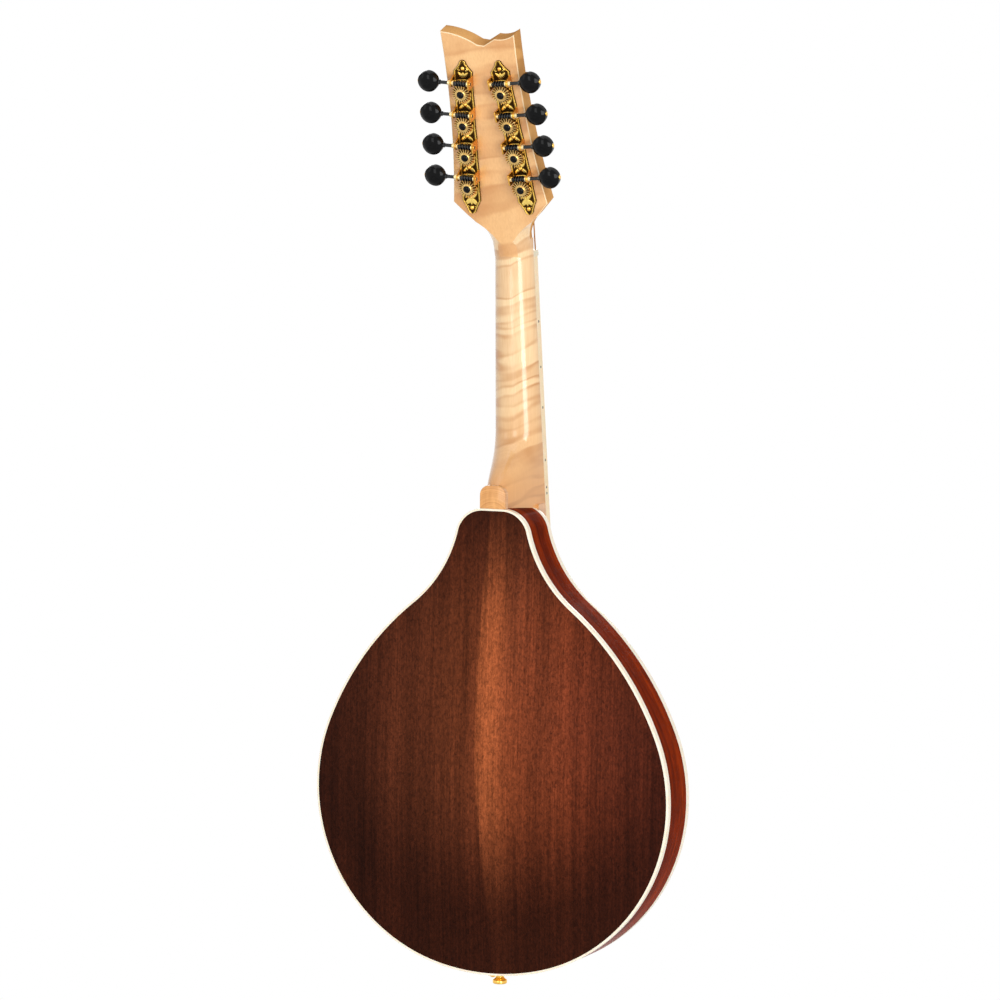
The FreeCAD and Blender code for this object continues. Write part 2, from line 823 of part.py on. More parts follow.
def string_line_y(z):
    """Height of the string plane over the neck, from the nut to the bridge."""
    half_scale = scale_length / 2
    rise = string_rise_nut + (string_rise_join - string_rise_nut) * (-z) / half_scale
    return z * tan_neck - rise / cos_neck


bridge_z = -scale_length * cos_neck
saddle_y = string_line_y(bridge_z)


def pair_places():
    """For each string: name, radius, place across nut, bridge and tail, and its tuner."""
    rows = []
    for pair in range(4):
        share = 1 - 2 * pair / 3
        for member in (0, 1):
            shift = 0.5 - member
            side = 1 if pair < 2 else -1
            near_edge = pair in (0, 3)
            outer = (member == 0) if side > 0 else (member == 1)
            tuner = (3 if outer else 2) if near_edge else (1 if outer else 0)
            rows.append({
                "name": string_names[pair],
                "radius": string_radii[pair],
                "nut": share * outer_pair_nut + shift * pair_gap_nut,
                "bridge": share * outer_pair_bridge + shift * pair_gap_bridge,
                "tail": share * outer_pair_tail + shift * pair_gap_tail,
                "row": member,
                "side": side,
                "tuner": tuner,
            })
    return rows


def post_point(row):
    """Where a string leaves its post, on the side that faces the middle of the headstock."""
    reach = post_waist_start + post_waist_length / 2
    frame = strip_frame(row["tuner"])
    gap = post_radius + row["radius"] + slip
    point = frame.multVec(V(-gap, -head_thickness - reach, 0))
    return V(row["side"] * point.x, point.y, point.z)


def tail_frame():
    """Frame of the tailpiece plate: origin at its bend, +Z up the plate, -Y in front of it."""
    bend = V(0, top_plane_y - tail_sheet - free_gap, tail_z)
    return FreeCAD.Placement(bend, FreeCAD.Rotation(x_way, tail_plate_tilt))


def hook_point(row):
    reach = tail_hook_share * tail_plate_length + (tail_hook_stagger if row["row"] else 0)
    return tail_frame().multVec(V(row["tail"], -tail_hook_height / 2, reach))


def string_tube(row, grow):
    """One string over the saddle and the nut: straight runs with small arcs between them."""
    nut_z = nut_thickness / 2
    points = [
        hook_point(row),
        V(row["bridge"], saddle_y, bridge_z),
        V(row["nut"], string_line_y(nut_z), nut_z),
        post_point(row),
    ]
    edges = []
    last = points[0]
    for before, corner, after in zip(points, points[1:], points[2:]):
        back = (before - corner).normalize()
        ahead = (after - corner).normalize()
        half_turn = (math.pi - back.getAngle(ahead)) / 2
        cut = string_bend_radius * math.tan(half_turn)
        start = corner + back * cut
        end = corner + ahead * cut
        inward = (back + ahead).normalize()
        centre = corner + inward * (string_bend_radius / math.cos(half_turn))
        middle = centre - inward * string_bend_radius
        edges.append(Part.makeLine(last, start))
        edges.append(Part.Arc(start, middle, end).toShape())
        last = end
    edges.append(Part.makeLine(last, points[-1]))
    path = Part.Wire(edges)
    first_way = (points[1] - points[0]).normalize()
    circle = Part.Wire(Part.Circle(points[0], first_way, row["radius"] + grow).toShape())
    return path.makePipeShell([circle], True, False)


def make_strings():
    pairs = {}
    for row in pair_places():
        pairs.setdefault(row["name"], []).append(one_solid(string_tube(row, 0)))
    for name, solids in pairs.items():
        add(name, solids)


def string_grooves():
    return [string_tube(row, slip) for row in pair_places()]


def make_nut(grooves):
    front = -nut_rise
    back_y = fretboard_thickness
    block = box(-nut_half_width, nut_half_width, front, back_y, 0, nut_thickness)
    bevel = polygon_face([
        V(-nut_half_width, front, nut_thickness),
        V(-nut_half_width, front, nut_thickness / 2),
        V(-nut_half_width, front + nut_thickness / 4, nut_thickness),
    ]).extrude(V(2 * nut_half_width, 0, 0))
    nut = placed(block.cut(bevel), neck_frame)
    for groove in grooves:
        nut = nut.cut(groove)
    add("nut", one_solid(nut))


def crown_y():
    """Outer face of the soundboard under the bridge, on the centreline."""
    return top_plane_y - top_arch * arch_share(0, bridge_z)


def make_bridge(grooves):
    """Arched foot, studs, thumbwheels and the saddle that they carry."""
    half_w = bridge_width / 2
    base_top = crown_y() - bridge_base_height
    low = top_plane_y
    foot = box(-bridge_half_length, bridge_half_length, base_top, low, bridge_z - half_w, bridge_z + half_w)
    under = arched_layer(top_plane_y, -top_arch, top_arch + overrun)
    foot = foot.cut(under)
    gap_half = bridge_half_length - bridge_foot_length
    hollow = arched_layer(top_plane_y - bridge_hollow, -top_arch, top_arch + overrun)
    middle = box(-gap_half, gap_half, base_top - overrun, low + overrun, bridge_z - half_w - overrun,
                 bridge_z + half_w + overrun)
    foot = foot.cut(hollow.common(middle))
    for side in (-1, 1):
        end = side * bridge_half_length
        shoulder = side * (stud_offset + thumbwheel_radius + stud_radius)
        rise = low - base_top
        slope = polygon_face([
            V(shoulder, base_top - overrun, bridge_z - half_w - overrun),
            V(end + side * overrun, base_top - overrun, bridge_z - half_w - overrun),
            V(end + side * overrun, base_top + rise / 2, bridge_z - half_w - overrun),
            V(shoulder, base_top, bridge_z - half_w - overrun),
        ])
        foot = foot.cut(slope.extrude(V(0, 0, bridge_width + 2 * overrun)))
    studs = []
    for side in (-1, 1):
        foot_y = base_top + stud_seat_depth
        studs.append(rod(stud_radius, stud_length, V(side * stud_offset, foot_y, bridge_z), -y_way))
        foot = foot.cut(rod(stud_radius, stud_seat_depth + overrun, V(side * stud_offset, foot_y, bridge_z), -y_way))
    add("bridge_base", one_solid(foot))
    add("bridge_studs", studs)

    wheel_y = base_top - thumbwheel_gap
    for side, name in ((-1, "bass_thumbwheel"), (1, "treble_thumbwheel")):
        centre = V(side * stud_offset, wheel_y, bridge_z)
        wheel = rod(thumbwheel_radius, thumbwheel_thickness, centre, -y_way)
        wheel = wheel.cut(rod(stud_radius + slip, thumbwheel_thickness + 2 * overrun,
                              centre + V(0, overrun, 0), -y_way))
        for i in range(thumbwheel_notches):
            angle = 2 * math.pi * i / thumbwheel_notches
            spot = centre + V(math.cos(angle), 0, math.sin(angle)) * (thumbwheel_radius + stud_radius / 4)
            wheel = wheel.cut(rod(stud_radius / 2, thumbwheel_thickness + 2 * overrun,
                                  spot + V(0, overrun, 0), -y_way))
        add(name, one_solid(wheel))

    saddle_low = wheel_y - thumbwheel_thickness - slip
    add("bridge_saddle", saddle_bar(saddle_low, foot_y, grooves))
    print("thumbwheel centre", stud_offset, round(wheel_y - thumbwheel_thickness / 2, 4), round(bridge_z, 4))


def saddle_bar(low_y, stud_foot_y, grooves):
    """Saddle: wide and drilled below, narrow where the strings cross."""
    top_y = saddle_y - saddle_string_sink
    half = saddle_width / 2
    crest = saddle_top_width / 2
    waist_y = (top_y + low_y) / 2
    profile = polygon_face([
        V(-saddle_half_length, low_y, bridge_z - half),
        V(-saddle_half_length, low_y, bridge_z + half),
        V(-saddle_half_length, waist_y, bridge_z + half),
        V(-saddle_half_length, top_y, bridge_z + crest),
        V(-saddle_half_length, top_y, bridge_z - crest),
        V(-saddle_half_length, waist_y, bridge_z - half),
    ])
    bar = profile.extrude(V(2 * saddle_half_length, 0, 0))
    flat_half = outer_pair_bridge + pair_gap_bridge
    for side in (-1, 1):
        start = side * flat_half
        end = side * (saddle_half_length + overrun)
        drop = saddle_end_drop * (saddle_half_length + overrun - flat_half) / (saddle_half_length - flat_half)
        wedge = polygon_face([
            V(start, top_y, bridge_z - half),
            V(end, top_y + drop, bridge_z - half),
            V(end, top_y - overrun, bridge_z - half),
            V(start, top_y - overrun, bridge_z - half),
        ])
        bar = bar.cut(wedge.extrude(V(0, 0, saddle_width)))
        reach = stud_length - (stud_foot_y - low_y) + saddle_lift_low + free_gap
        hole = rod(stud_radius + slip, reach + overrun, V(side * stud_offset, low_y + overrun, bridge_z), -y_way)
        bar = bar.cut(hole)
    for groove in grooves:
        bar = bar.cut(groove)
    return one_solid(bar)


# Tailpiece and strap button

def leg_face():
    """Outline of the tailpiece leg in the plane of the rim, as seen from the tail."""
    y0 = top_plane_y - tail_sheet - free_gap
    y1 = y0 + tail_leg_length - tail_leg_half_low
    top, low = tail_leg_half_top, tail_leg_half_low
    arc = Part.Arc(V(low, y1, 0), V(0, y1 + low, 0), V(-low, y1, 0)).toShape()
    shoulder_y = y0 + tail_leg_shoulder
    points = [V(-low, y1, 0), V(-top, shoulder_y, 0), V(-top, y0, 0), V(top, y0, 0), V(top, shoulder_y, 0),
              V(low, y1, 0)]
    return Part.Face(Part.Wire([arc] + [Part.makeLine(a, b) for a, b in zip(points, points[1:])]))


def tail_spots():
    """Screws of the tailpiece leg: place across and depth behind the soundboard edge."""
    return (
        (-tail_screw_upper_offset, tail_screw_upper_depth),
        (tail_screw_upper_offset, tail_screw_upper_depth),
        (0.0, tail_screw_lower_depth),
    )


def strap_y():
    return top_plane_y + rim_depth / 2


def tail_holes():
    """Holes in the rib and the tail block for the screws and the strap button's peg."""
    length = strap_peg_length + 2 * overrun
    holes = [rod(strap_peg_radius, strap_peg_length + overrun, V(0, strap_y(), tail_z - overrun), z_way)]
    for x, depth in tail_spots():
        base = V(x, top_plane_y + depth, tail_z - overrun)
        holes.append(rod(tail_screw_shank_radius, length - strap_peg_length + tail_screw_length - overrun, base, z_way))
    return holes


def make_tailpiece():
    leg = leg_face()
    leg.translate(V(0, 0, tail_z - overrun))
    leg = leg.extrude(V(0, 0, 2 * overrun))
    high_y = top_plane_y - overrun
    low_y = back_plane_y + overrun
    leg = leg.common(outline_prism(-tail_sheet, high_y, low_y).cut(outline_prism(0, high_y, low_y)))
    plate = box(-tail_leg_half_top, tail_leg_half_top, 0, tail_sheet, -tail_sheet, tail_plate_length)
    hooks = []
    for row in pair_places():
        reach = tail_hook_share * tail_plate_length + (tail_hook_stagger if row["row"] else 0)
        base = V(row["tail"], tail_sheet / 2, reach - row["radius"] - tail_hook_radius - slip)
        hooks.append(rod(tail_hook_radius, tail_hook_height + tail_sheet / 2, base, -y_way))
    plate = placed(plate.fuse(hooks), tail_frame())
    body = plate.fuse(leg).removeSplitter()
    body = body.cut(rod(strap_stem_radius + slip, 2 * overrun, V(0, strap_y(), tail_z - overrun), z_way))
    for x, depth in tail_spots():
        body = body.cut(rod(tail_screw_shank_radius, 2 * overrun,
                            V(x, top_plane_y + depth, tail_z - overrun), z_way))
    add("tailpiece", one_solid(body))

    screws = []
    for x, depth in tail_spots():
        base = V(x, top_plane_y + depth, tail_z - tail_sheet)
        screws.append(domed_screw(base, -z_way, tail_screw_head_radius, tail_screw_head_rise,
                                  tail_screw_shank_radius, tail_screw_length - overrun))
    add("tail_screws", screws)


def domed_screw(base, way, head_radius, rise, shank_radius, length):
    """Round-headed screw: base is under its head and way points out of the head."""
    ball_radius = (head_radius ** 2 + rise ** 2) / (2 * rise)
    ball = Part.makeSphere(ball_radius, base + way * (rise - ball_radius))
    head = ball.common(rod(head_radius, rise, base, way))
    shank = rod(shank_radius, length, base, way * -1)
    return one_solid(head.fuse(shank))


def cover_section(grow, floor):
    """Arched section of the cover, across the plate."""
    half = cover_half_width - cover_wall + grow
    side = -(cover_side_height - cover_wall + grow)
    crown = -(cover_crown - cover_wall + grow)
    arc = Part.Arc(V(half, side, 0), V(0, crown, 0), V(-half, side, 0)).toShape()
    points = [V(-half, side, 0), V(-half, floor, 0), V(half, floor, 0), V(half, side, 0)]
    return Part.Face(Part.Wire([arc] + [Part.makeLine(a, b) for a, b in zip(points, points[1:])]))


def make_cover():
    """Sliding cover: an arched hood, closed at the tail and open towards the bridge."""
    start = tail_sheet + free_gap
    outer = cover_section(cover_wall, cover_skirt)
    outer.translate(V(0, 0, start))
    hood = outer.extrude(V(0, 0, cover_length))
    inner = cover_section(0, cover_skirt + overrun)
    inner.translate(V(0, 0, start + cover_wall))
    hood = hood.cut(inner.extrude(V(0, 0, cover_length)))
    hood = hood.cut(box(-tail_leg_half_top - free_gap, tail_leg_half_top + free_gap, -free_gap,
                        overrun, 0, cover_length + overrun))
    add("tailpiece_cover", placed(one_solid(hood), tail_frame()))
    print("cover way", [round(c, 6) for c in tail_frame().Rotation.multVec(z_way)])


def make_strap_button():
    """Turned button with a flared head, and its peg in the tail block."""
    r0, r1, r2 = strap_flange_radius, strap_stem_radius, strap_head_radius
    z0 = 0.0
    z1 = strap_flange_length
    z2 = z1 + strap_stem_length
    z3 = z2 + strap_head_length
    z4 = z3 + strap_head_crown
    start = -tail_sheet
    points = [V(0, 0, start - strap_peg_length), V(strap_peg_radius, 0, start - strap_peg_length),
              V(strap_peg_radius, 0, z0), V(r0, 0, z0), V(r0, 0, z1), V(r1, 0, z1 + strap_head_crown),
              V(r1, 0, z2 - strap_head_crown), V(r2, 0, z2), V(r2, 0, z3)]
    edges = [Part.makeLine(a, b) for a, b in zip(points, points[1:])]
    bend = strap_head_crown * (1 - math.cos(math.radians(45)))
    crest = V(r2 - strap_head_crown, 0, z4)
    edges.append(Part.Arc(points[-1], V(r2 - bend, 0, z4 - bend), crest).toShape())
    edges.append(Part.makeLine(crest, V(0, 0, z4)))
    edges.append(Part.makeLine(V(0, 0, z4), points[0]))
    button = Part.Face(Part.Wire(edges)).revolve(V(0, 0, 0), z_way, 360)
    button.rotate(V(0, 0, 0), x_way, 180)
    button.translate(V(0, strap_y(), tail_z - tail_sheet))
    add("strap_button", one_solid(button))
    print("strap button: head radius", r2, "from", round(tail_z - tail_sheet - z2, 3),
          "to", round(tail_z - tail_sheet - z3, 3), "y", round(strap_y(), 3))


# Tuners

def strip_outline():
    """Engraved plate: straight sides drawn in between the tuners, and pointed ends."""
    edges = []
    for side in (-1, 1):
        last = V(side * strip_half_width, 0, -strip_half_length)
        edges.append(tip_curve(side, -1))
        for index in range(tuner_count):
            low = -strip_half_length + 2 * strip_half_length * index / tuner_count
            high = -strip_half_length + 2 * strip_half_length * (index + 1) / tuner_count
            end = V(side * strip_half_width, 0, high)
            middle = V(side * (strip_waist_half_width + strip_half_width) / 2, 0, (low + high) / 2)
            edges.append(Part.Arc(last, middle, end).toShape())
            last = end
        edges.append(tip_curve(side, 1))
    for end in (-1, 1):
        length, half = tip_size(end)
        tip_z = end * (strip_half_length + length)
        left = V(-half, 0, tip_z - end * half)
        right = V(half, 0, tip_z - end * half)
        edges.append(Part.Arc(left, V(0, 0, tip_z), right).toShape())
    return Part.Wire(Part.__sortEdges__(edges))


def tip_size(end):
    """Length and half width of a strip's upper or lower tip."""
    return (strip_tip_length, strip_tip_half_width) if end > 0 else (strip_foot_length, strip_foot_half_width)


def tip_curve(side, end):
    """Bell-shaped shoulder between a strip's side and its rounded tip."""
    length, half = tip_size(end)
    wide = V(side * strip_half_width, 0, end * strip_half_length)
    narrow = V(side * half, 0, end * (strip_half_length + length - half))
    middle = V(side * (strip_half_width + 2 * half) / 3, 0, end * (strip_half_length + (length - half) / 2))
    return Part.Arc(wide, middle, narrow).toShape()


def tuner_lift(index):
    return (tuner_count - 1) / 2 * tuner_pitch - index * tuner_pitch


def screw_spots():
    """Plate screws along a strip's axis: both tips, and between the tuners."""
    inner = [tuner_lift(index) - gear_outer_radius - (tuner_pitch - gear_outer_radius - mesh_distance
             - worm_crest_radius) / 2 for index in range(tuner_count - 1)]
    tip = strip_half_length + strip_tip_length / 4
    return [tip] + inner + [-tip]


def strip_placement():
    middle = FreeCAD.Placement(V(strip_offset, head_thickness, strip_height),
                               FreeCAD.Rotation(y_way, -strip_tilt))
    return head_frame.multiply(middle)


def screw_shanks():
    """Holes in the headstock for the plate screws, on both sides."""
    holes = []
    for z in screw_spots():
        hole = rod(screw_shank_radius, screw_length, V(0, -screw_length, z), y_way)
        hole = placed(hole, strip_placement())
        holes += [hole, mirrored(hole)]
    return holes


def worm_ear(lift, side):
    """Bent-up ear with its bush: it carries one end of the worm shaft."""
    worm_z = lift + mesh_distance
    inner = strip_half_width - ear_thickness
    low_x = inner if side > 0 else -strip_half_width
    top_y = worm_height + ear_top_rise
    ear = box(low_x, low_x + ear_thickness, 0, top_y, worm_z - ear_half_length, worm_z + ear_half_length)
    corners = [edge for edge in ear.Edges if edge.BoundBox.YMin > worm_height and edge.BoundBox.ZLength < slip]
    ear = ear.makeFillet(ear_corner, corners)
    reach = bush_outer_reach if side > 0 else bush_inner_reach
    start = side * (inner - bush_reach)
    bush = rod(bush_radius, bush_reach + ear_thickness + reach, V(start, worm_height, worm_z), x_way * side)
    return ear.fuse(bush)


def make_tuner_plates():
    plate = Part.Face(strip_outline()).extrude(V(0, strip_thickness, 0))
    for index in range(tuner_count):
        lift = tuner_lift(index)
        plate = plate.fuse([worm_ear(lift, -1), worm_ear(lift, 1)])
        bore_start = V(-strip_half_width - overrun, worm_height, lift + mesh_distance)
        bore = rod(worm_shaft_radius + slip, 2 * strip_half_width + 2 * overrun + bush_outer_reach, bore_start, x_way)
        plate = plate.cut(bore)
        plate = plate.cut(rod(post_journal_radius + slip, 2 * overrun, V(0, -overrun, lift), y_way))
    for z in screw_spots():
        plate = plate.cut(rod(screw_shank_radius, 2 * overrun, V(0, -overrun, z), y_way))
    plate = placed(one_solid(plate.removeSplitter()), strip_placement())
    add("treble_tuner_plate", plate)
    add("bass_tuner_plate", mirrored(plate))
    screws = []
    for z in screw_spots():
        screw = domed_screw(V(0, strip_thickness, z), y_way, screw_head_radius, screw_head_rise,
                            screw_shank_radius, screw_length)
        screw = placed(screw, strip_placement())
        screws += [screw, mirrored(screw)]
    add("tuner_screws", screws)


def worm_thread():
    """Single-start right-handed thread about the X axis, centred on the origin."""
    inner = strip_half_width - ear_thickness
    half = inner - bush_reach - 2 * slip
    turns_height = 2 * half - worm_root_width
    sink = worm_root_radius - slip
    stations = int(turns_height / worm_pitch * worm_stations)
    rings = []
    for i in range(stations + 1):
        rise = turns_height * (i / stations - 1 / 2)
        angle = 2 * math.pi * rise / worm_pitch
        out = V(math.cos(angle), math.sin(angle), 0)
        rings.append([out * radius + V(0, 0, rise + shift) for radius, shift in (
            (sink, -worm_root_width / 2),
            (worm_crest_radius, -worm_crest_width / 2),
            (worm_crest_radius, worm_crest_width / 2),
            (sink, worm_root_width / 2),
        )])
    facets = [polygon_face(rings[0]), polygon_face(rings[-1])]
    for ring, following in zip(rings, rings[1:]):
        for corner in range(len(ring)):
            a, b = ring[corner - 1], ring[corner]
            c, d = following[corner], following[corner - 1]
            facets += [polygon_face([a, b, c]), polygon_face([a, c, d])]
    shell = Part.Shell(facets)
    thread = Part.Solid(shell)
    if thread.Volume < 0:
        thread.reverse()
    core = rod(worm_root_radius, 2 * half, V(0, 0, -half), z_way)
    worm = core.fuse(thread)
    worm.rotate(V(0, 0, 0), y_way, 90)
    return worm, half


def key_blank():
    """Worm, shaft and button of one treble tuner, about the X axis."""
    worm, half = worm_thread()
    inner_end = -(strip_half_width + bush_inner_reach)
    outer_end = key_reach
    inner_pin = rod(worm_shaft_radius, -half - inner_end, V(inner_end, 0, 0), x_way)
    near = key_reach - key_half_width
    outer_pin = rod(worm_shaft_radius, near + key_half_width / 3 - half, V(half, 0, 0), x_way)
    shaft = worm.fuse([inner_pin, outer_pin])
    button = key_button(outer_end)
    socket = rod(worm_shaft_radius, key_half_width / 3 + overrun, V(near - overrun, 0, 0), x_way)
    cap_base = key_reach + key_half_width
    cap = rod(key_cap_radius, 2 * key_cap_rise, V(cap_base - key_cap_rise, 0, 0), x_way)
    button = button.cut(socket).cut(cap)
    return [one_solid(shaft), one_solid(button), one_solid(cap)]


def key_button(centre):
    """Oval button: a lens turned about Y, with a neck towards the shaft."""
    rim = key_rim_half_thickness
    top = V(0, key_half_thickness, 0)
    wide = V(key_half_width, rim, 0)
    bend = V(key_half_width * key_bend_share, key_half_thickness * key_crown_share, 0)
    low = V(0, -key_half_thickness, 0)
    wide_low = V(key_half_width, -rim, 0)
    bend_low = V(key_half_width * key_bend_share, -key_half_thickness * key_crown_share, 0)
    edges = [
        Part.Arc(top, bend, wide).toShape(),
        Part.makeLine(wide, wide_low),
        Part.Arc(wide_low, bend_low, low).toShape(),
        Part.makeLine(low, top),
    ]
    lens = Part.Face(Part.Wire(edges)).revolve(V(0, 0, 0), y_way, 360)
    lens.translate(V(centre, 0, 0))
    neck = Part.makeCone(key_neck_tip_radius, key_neck_radius, key_half_width / 2,
                         V(centre - key_neck_start, 0, 0), x_way)
    return lens.fuse(neck)


def gear_profile(turn):
    """Closed tooth profile, turned about the gear axis by an angle in radians."""
    points = []
    for i in range(gear_teeth):
        centre = 2 * math.pi * (i + 0.5) / gear_teeth + turn
        root = gear_root_width / 2 / gear_root_radius
        tip = gear_tip_width / 2 / gear_outer_radius
        for radius, angle in ((gear_root_radius, -root), (gear_outer_radius, -tip),
                              (gear_outer_radius, tip), (gear_root_radius, root)):
            points.append((radius * math.sin(centre + angle), radius * math.cos(centre + angle)))
    return points


def gear_solid():
    """Gear with teeth slanted to the thread's lead, between two turned profiles."""
    pitch_radius = worm_pitch * gear_teeth / (2 * math.pi)
    worm_pitch_radius = mesh_distance - pitch_radius
    slope = worm_pitch / (2 * math.pi * worm_pitch_radius)
    twist = gear_width * slope / pitch_radius
    wires = []
    for side in (-1, 1):
        y = worm_height + side * gear_width / 2
        ring = [V(x, y, z) for x, z in gear_profile(-side * twist / 2)]
        wires.append(Part.makePolygon(ring + [ring[0]]))
    teeth = Part.makeLoft(wires, True, True)
    hub_low = strip_thickness + slip
    hub = rod(gear_hub_radius, worm_height - hub_low, V(0, hub_low, 0), y_way)
    body = teeth.fuse(hub)
    return body.cut(rod(gear_bore_radius, worm_height + 2 * gear_width, V(0, 0, 0), y_way))


def post_blank():
    """String post, turned: it runs from the gear through the headstock to the front."""
    gear_top = worm_height + gear_width / 2
    parts = [
        rod(gear_bore_radius, gear_top - strip_thickness, V(0, strip_thickness, 0), y_way),
        rod(post_journal_radius, strip_thickness + slip, V(0, 0, 0), y_way),
        rod(post_radius, head_thickness + post_waist_start, V(0, -head_thickness - post_waist_start, 0), y_way),
        rod(post_waist_radius, post_waist_length,
            V(0, -head_thickness - post_waist_start - post_waist_length, 0), y_way),
        rod(post_radius, post_reach - post_waist_start - post_waist_length,
            V(0, -head_thickness - post_reach, 0), y_way),
    ]
    post = parts[0].fuse(parts[1:])
    hole_y = -head_thickness - post_waist_start - post_waist_length / 2
    post = post.cut(rod(post_hole_radius, 2 * post_radius + 2 * overrun, V(-post_radius - overrun, hole_y, 0), x_way))
    screw_base = gear_top + washer_thickness
    socket = rod(gear_screw_shank_radius, gear_screw_length, V(0, gear_top, 0), -y_way)
    screw = domed_screw(V(0, screw_base, 0), y_way, gear_screw_radius, gear_screw_rise,
                        gear_screw_shank_radius, gear_screw_length)
    washer = rod(washer_radius, washer_thickness, V(0, gear_top, 0), y_way)
    washer = washer.cut(rod(gear_screw_shank_radius, 2 * washer_thickness, V(0, gear_top, 0), y_way))
    return [one_solid(post.removeSplitter().cut(socket)), screw, one_solid(washer)]


def make_tuners():
    key = key_blank()
    gear = gear_solid()
    post = post_blank()
    flange = rod(bushing_flange_radius, bushing_flange_thickness, V(0, -head_thickness, 0), -y_way)
    sleeve = rod(bushing_radius, bushing_length, V(0, -head_thickness, 0), y_way)
    bore = rod(post_radius + slip, bushing_length + 2 * overrun, V(0, -head_thickness - overrun, 0), y_way)
    bushing = one_solid(flange.fuse(sleeve).cut(bore))
    bushings = []
    for index in range(tuner_count):
        frame = strip_frame(index)
        worm_place = frame.multiply(FreeCAD.Placement(V(0, worm_height, mesh_distance), FreeCAD.Rotation()))
        groups = {"key": [placed(piece, worm_place) for piece in key],
                  "gear": [placed(gear, frame)],
                  "post": [placed(piece, frame) for piece in post]}
        for kind, pieces in groups.items():
            add("treble_" + kind + "_" + str(index + 1), pieces)
            add("bass_" + kind + "_" + str(index + 1), [mirrored(piece) for piece in pieces])
        bushings += [placed(bushing, frame), mirrored(placed(bushing, frame))]
        origin = frame.multVec(V(0, worm_height, mesh_distance))
        foot = frame.multVec(V(0, worm_height, 0))
        along = frame.Rotation.multVec(x_way)
        out = frame.Rotation.multVec(y_way)
        print("tuner", index + 1, "worm", [round(c, 4) for c in origin], "along", [round(c, 6) for c in along],
              "gear", [round(c, 4) for c in foot], "out", [round(c, 6) for c in out])
    add("post_bushings", bushings)


def main():
    make_body()
    make_top()
    make_braces()
    make_neck()
    make_truss_rod()
    make_fretboard()
    grooves = string_grooves()
    make_strings()
    make_nut(grooves)
    make_bridge(grooves)
    make_tailpiece()
    make_cover()
    make_strap_button()
    make_tuner_plates()
    make_tuners()
    os.makedirs("parts", exist_ok=True)
    print("tail z", round(tail_z, 3), "bridge z", round(bridge_z, 3), "saddle y", round(saddle_y, 3),
          "crown y", round(crown_y(), 3))
    for name, solids in made.items():
        shape = solids[0] if len(solids) == 1 else Part.makeCompound(solids)
        shape.exportStep("parts/" + name + ".step")
        valid = all(solid.isValid() for solid in solids)
        print(name, len(solids), "solids, volume", round(sum(s.Volume for s in solids), 2), "" if valid else "NOT VALID")


main()
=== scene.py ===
import bmesh
import bpy
import math
from mathutils import Matrix, Vector


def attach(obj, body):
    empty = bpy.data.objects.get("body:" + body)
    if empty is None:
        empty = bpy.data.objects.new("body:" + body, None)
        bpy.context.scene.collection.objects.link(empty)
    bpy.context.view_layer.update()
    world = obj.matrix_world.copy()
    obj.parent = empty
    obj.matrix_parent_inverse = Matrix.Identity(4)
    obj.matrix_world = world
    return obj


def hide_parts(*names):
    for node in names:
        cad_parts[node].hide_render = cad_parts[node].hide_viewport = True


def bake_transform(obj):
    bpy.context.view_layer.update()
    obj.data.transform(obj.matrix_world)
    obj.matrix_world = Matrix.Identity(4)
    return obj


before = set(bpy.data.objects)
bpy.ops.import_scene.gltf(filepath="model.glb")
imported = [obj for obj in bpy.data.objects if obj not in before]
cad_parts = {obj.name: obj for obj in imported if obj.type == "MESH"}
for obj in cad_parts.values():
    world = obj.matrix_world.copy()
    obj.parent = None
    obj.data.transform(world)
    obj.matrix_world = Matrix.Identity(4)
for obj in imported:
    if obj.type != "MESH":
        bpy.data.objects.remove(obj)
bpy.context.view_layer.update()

# Shapes are worked out in millimetres and scaled to metres when a mesh is made.
# +Z runs up the neck, the strings face -Y, the back faces +Y, +X is the treble side.
mm = 0.001
tiny = 1e-6
sides = {"treble": 1, "bass": -1}


# Mesh helpers

# Points evenly round a circle about the origin.
def circle(radius, count):
    return [(radius * math.cos(2 * math.pi * k / count), radius * math.sin(2 * math.pi * k / count))
            for k in range(count)]


def turnAbout(axis, degrees):
    return Matrix.Rotation(math.radians(degrees), 4, axis)


def shifted(x, y, z):
    return Matrix.Translation((x, y, z))


# Length of a line from its first point to each of its points.
def runsAlong(points):
    runs = [0.0]
    for a, b in zip(points, points[1:]):
        runs.append(runs[-1] + math.dist(a, b))
    return runs


# Faces between rows of points; wrap joins the last column to the first.
def gridPart(rows, wrap=False, capStart=False, capEnd=False, uvs=None):
    wide = len(rows[0])
    faces = []
    for i in range(len(rows) - 1):
        for j in range(wide if wrap else wide - 1):
            k = (j + 1) % wide
            faces.append((i * wide + j, i * wide + k, (i + 1) * wide + k, (i + 1) * wide + j))
    if capStart:
        faces.append(tuple(reversed(range(wide))))
    if capEnd:
        faces.append(tuple(range((len(rows) - 1) * wide, len(rows) * wide)))
    return {"verts": [Vector(p) for row in rows for p in row], "faces": faces, "uvs": uvs}


# Closed solid through rows of points, with a face at each end.
def solidPart(rows):
    return gridPart(rows, wrap=True, capStart=True, capEnd=True)


def movedPart(part, matrix):
    flip = matrix.determinant() < 0
    faces = [tuple(reversed(f)) if flip else f for f in part["faces"]]
    return {"verts": [matrix @ v for v in part["verts"]], "faces": faces, "uvs": part["uvs"]}


def joinedPart(parts):
    verts, faces, uvs = [], [], []
    for part in parts:
        start = len(verts)
        verts += part["verts"]
        faces += [tuple(i + start for i in f) for f in part["faces"]]
        uvs += part["uvs"] or [(0.0, 0.0)] * len(part["verts"])
    return {"verts": verts, "faces": faces, "uvs": uvs}


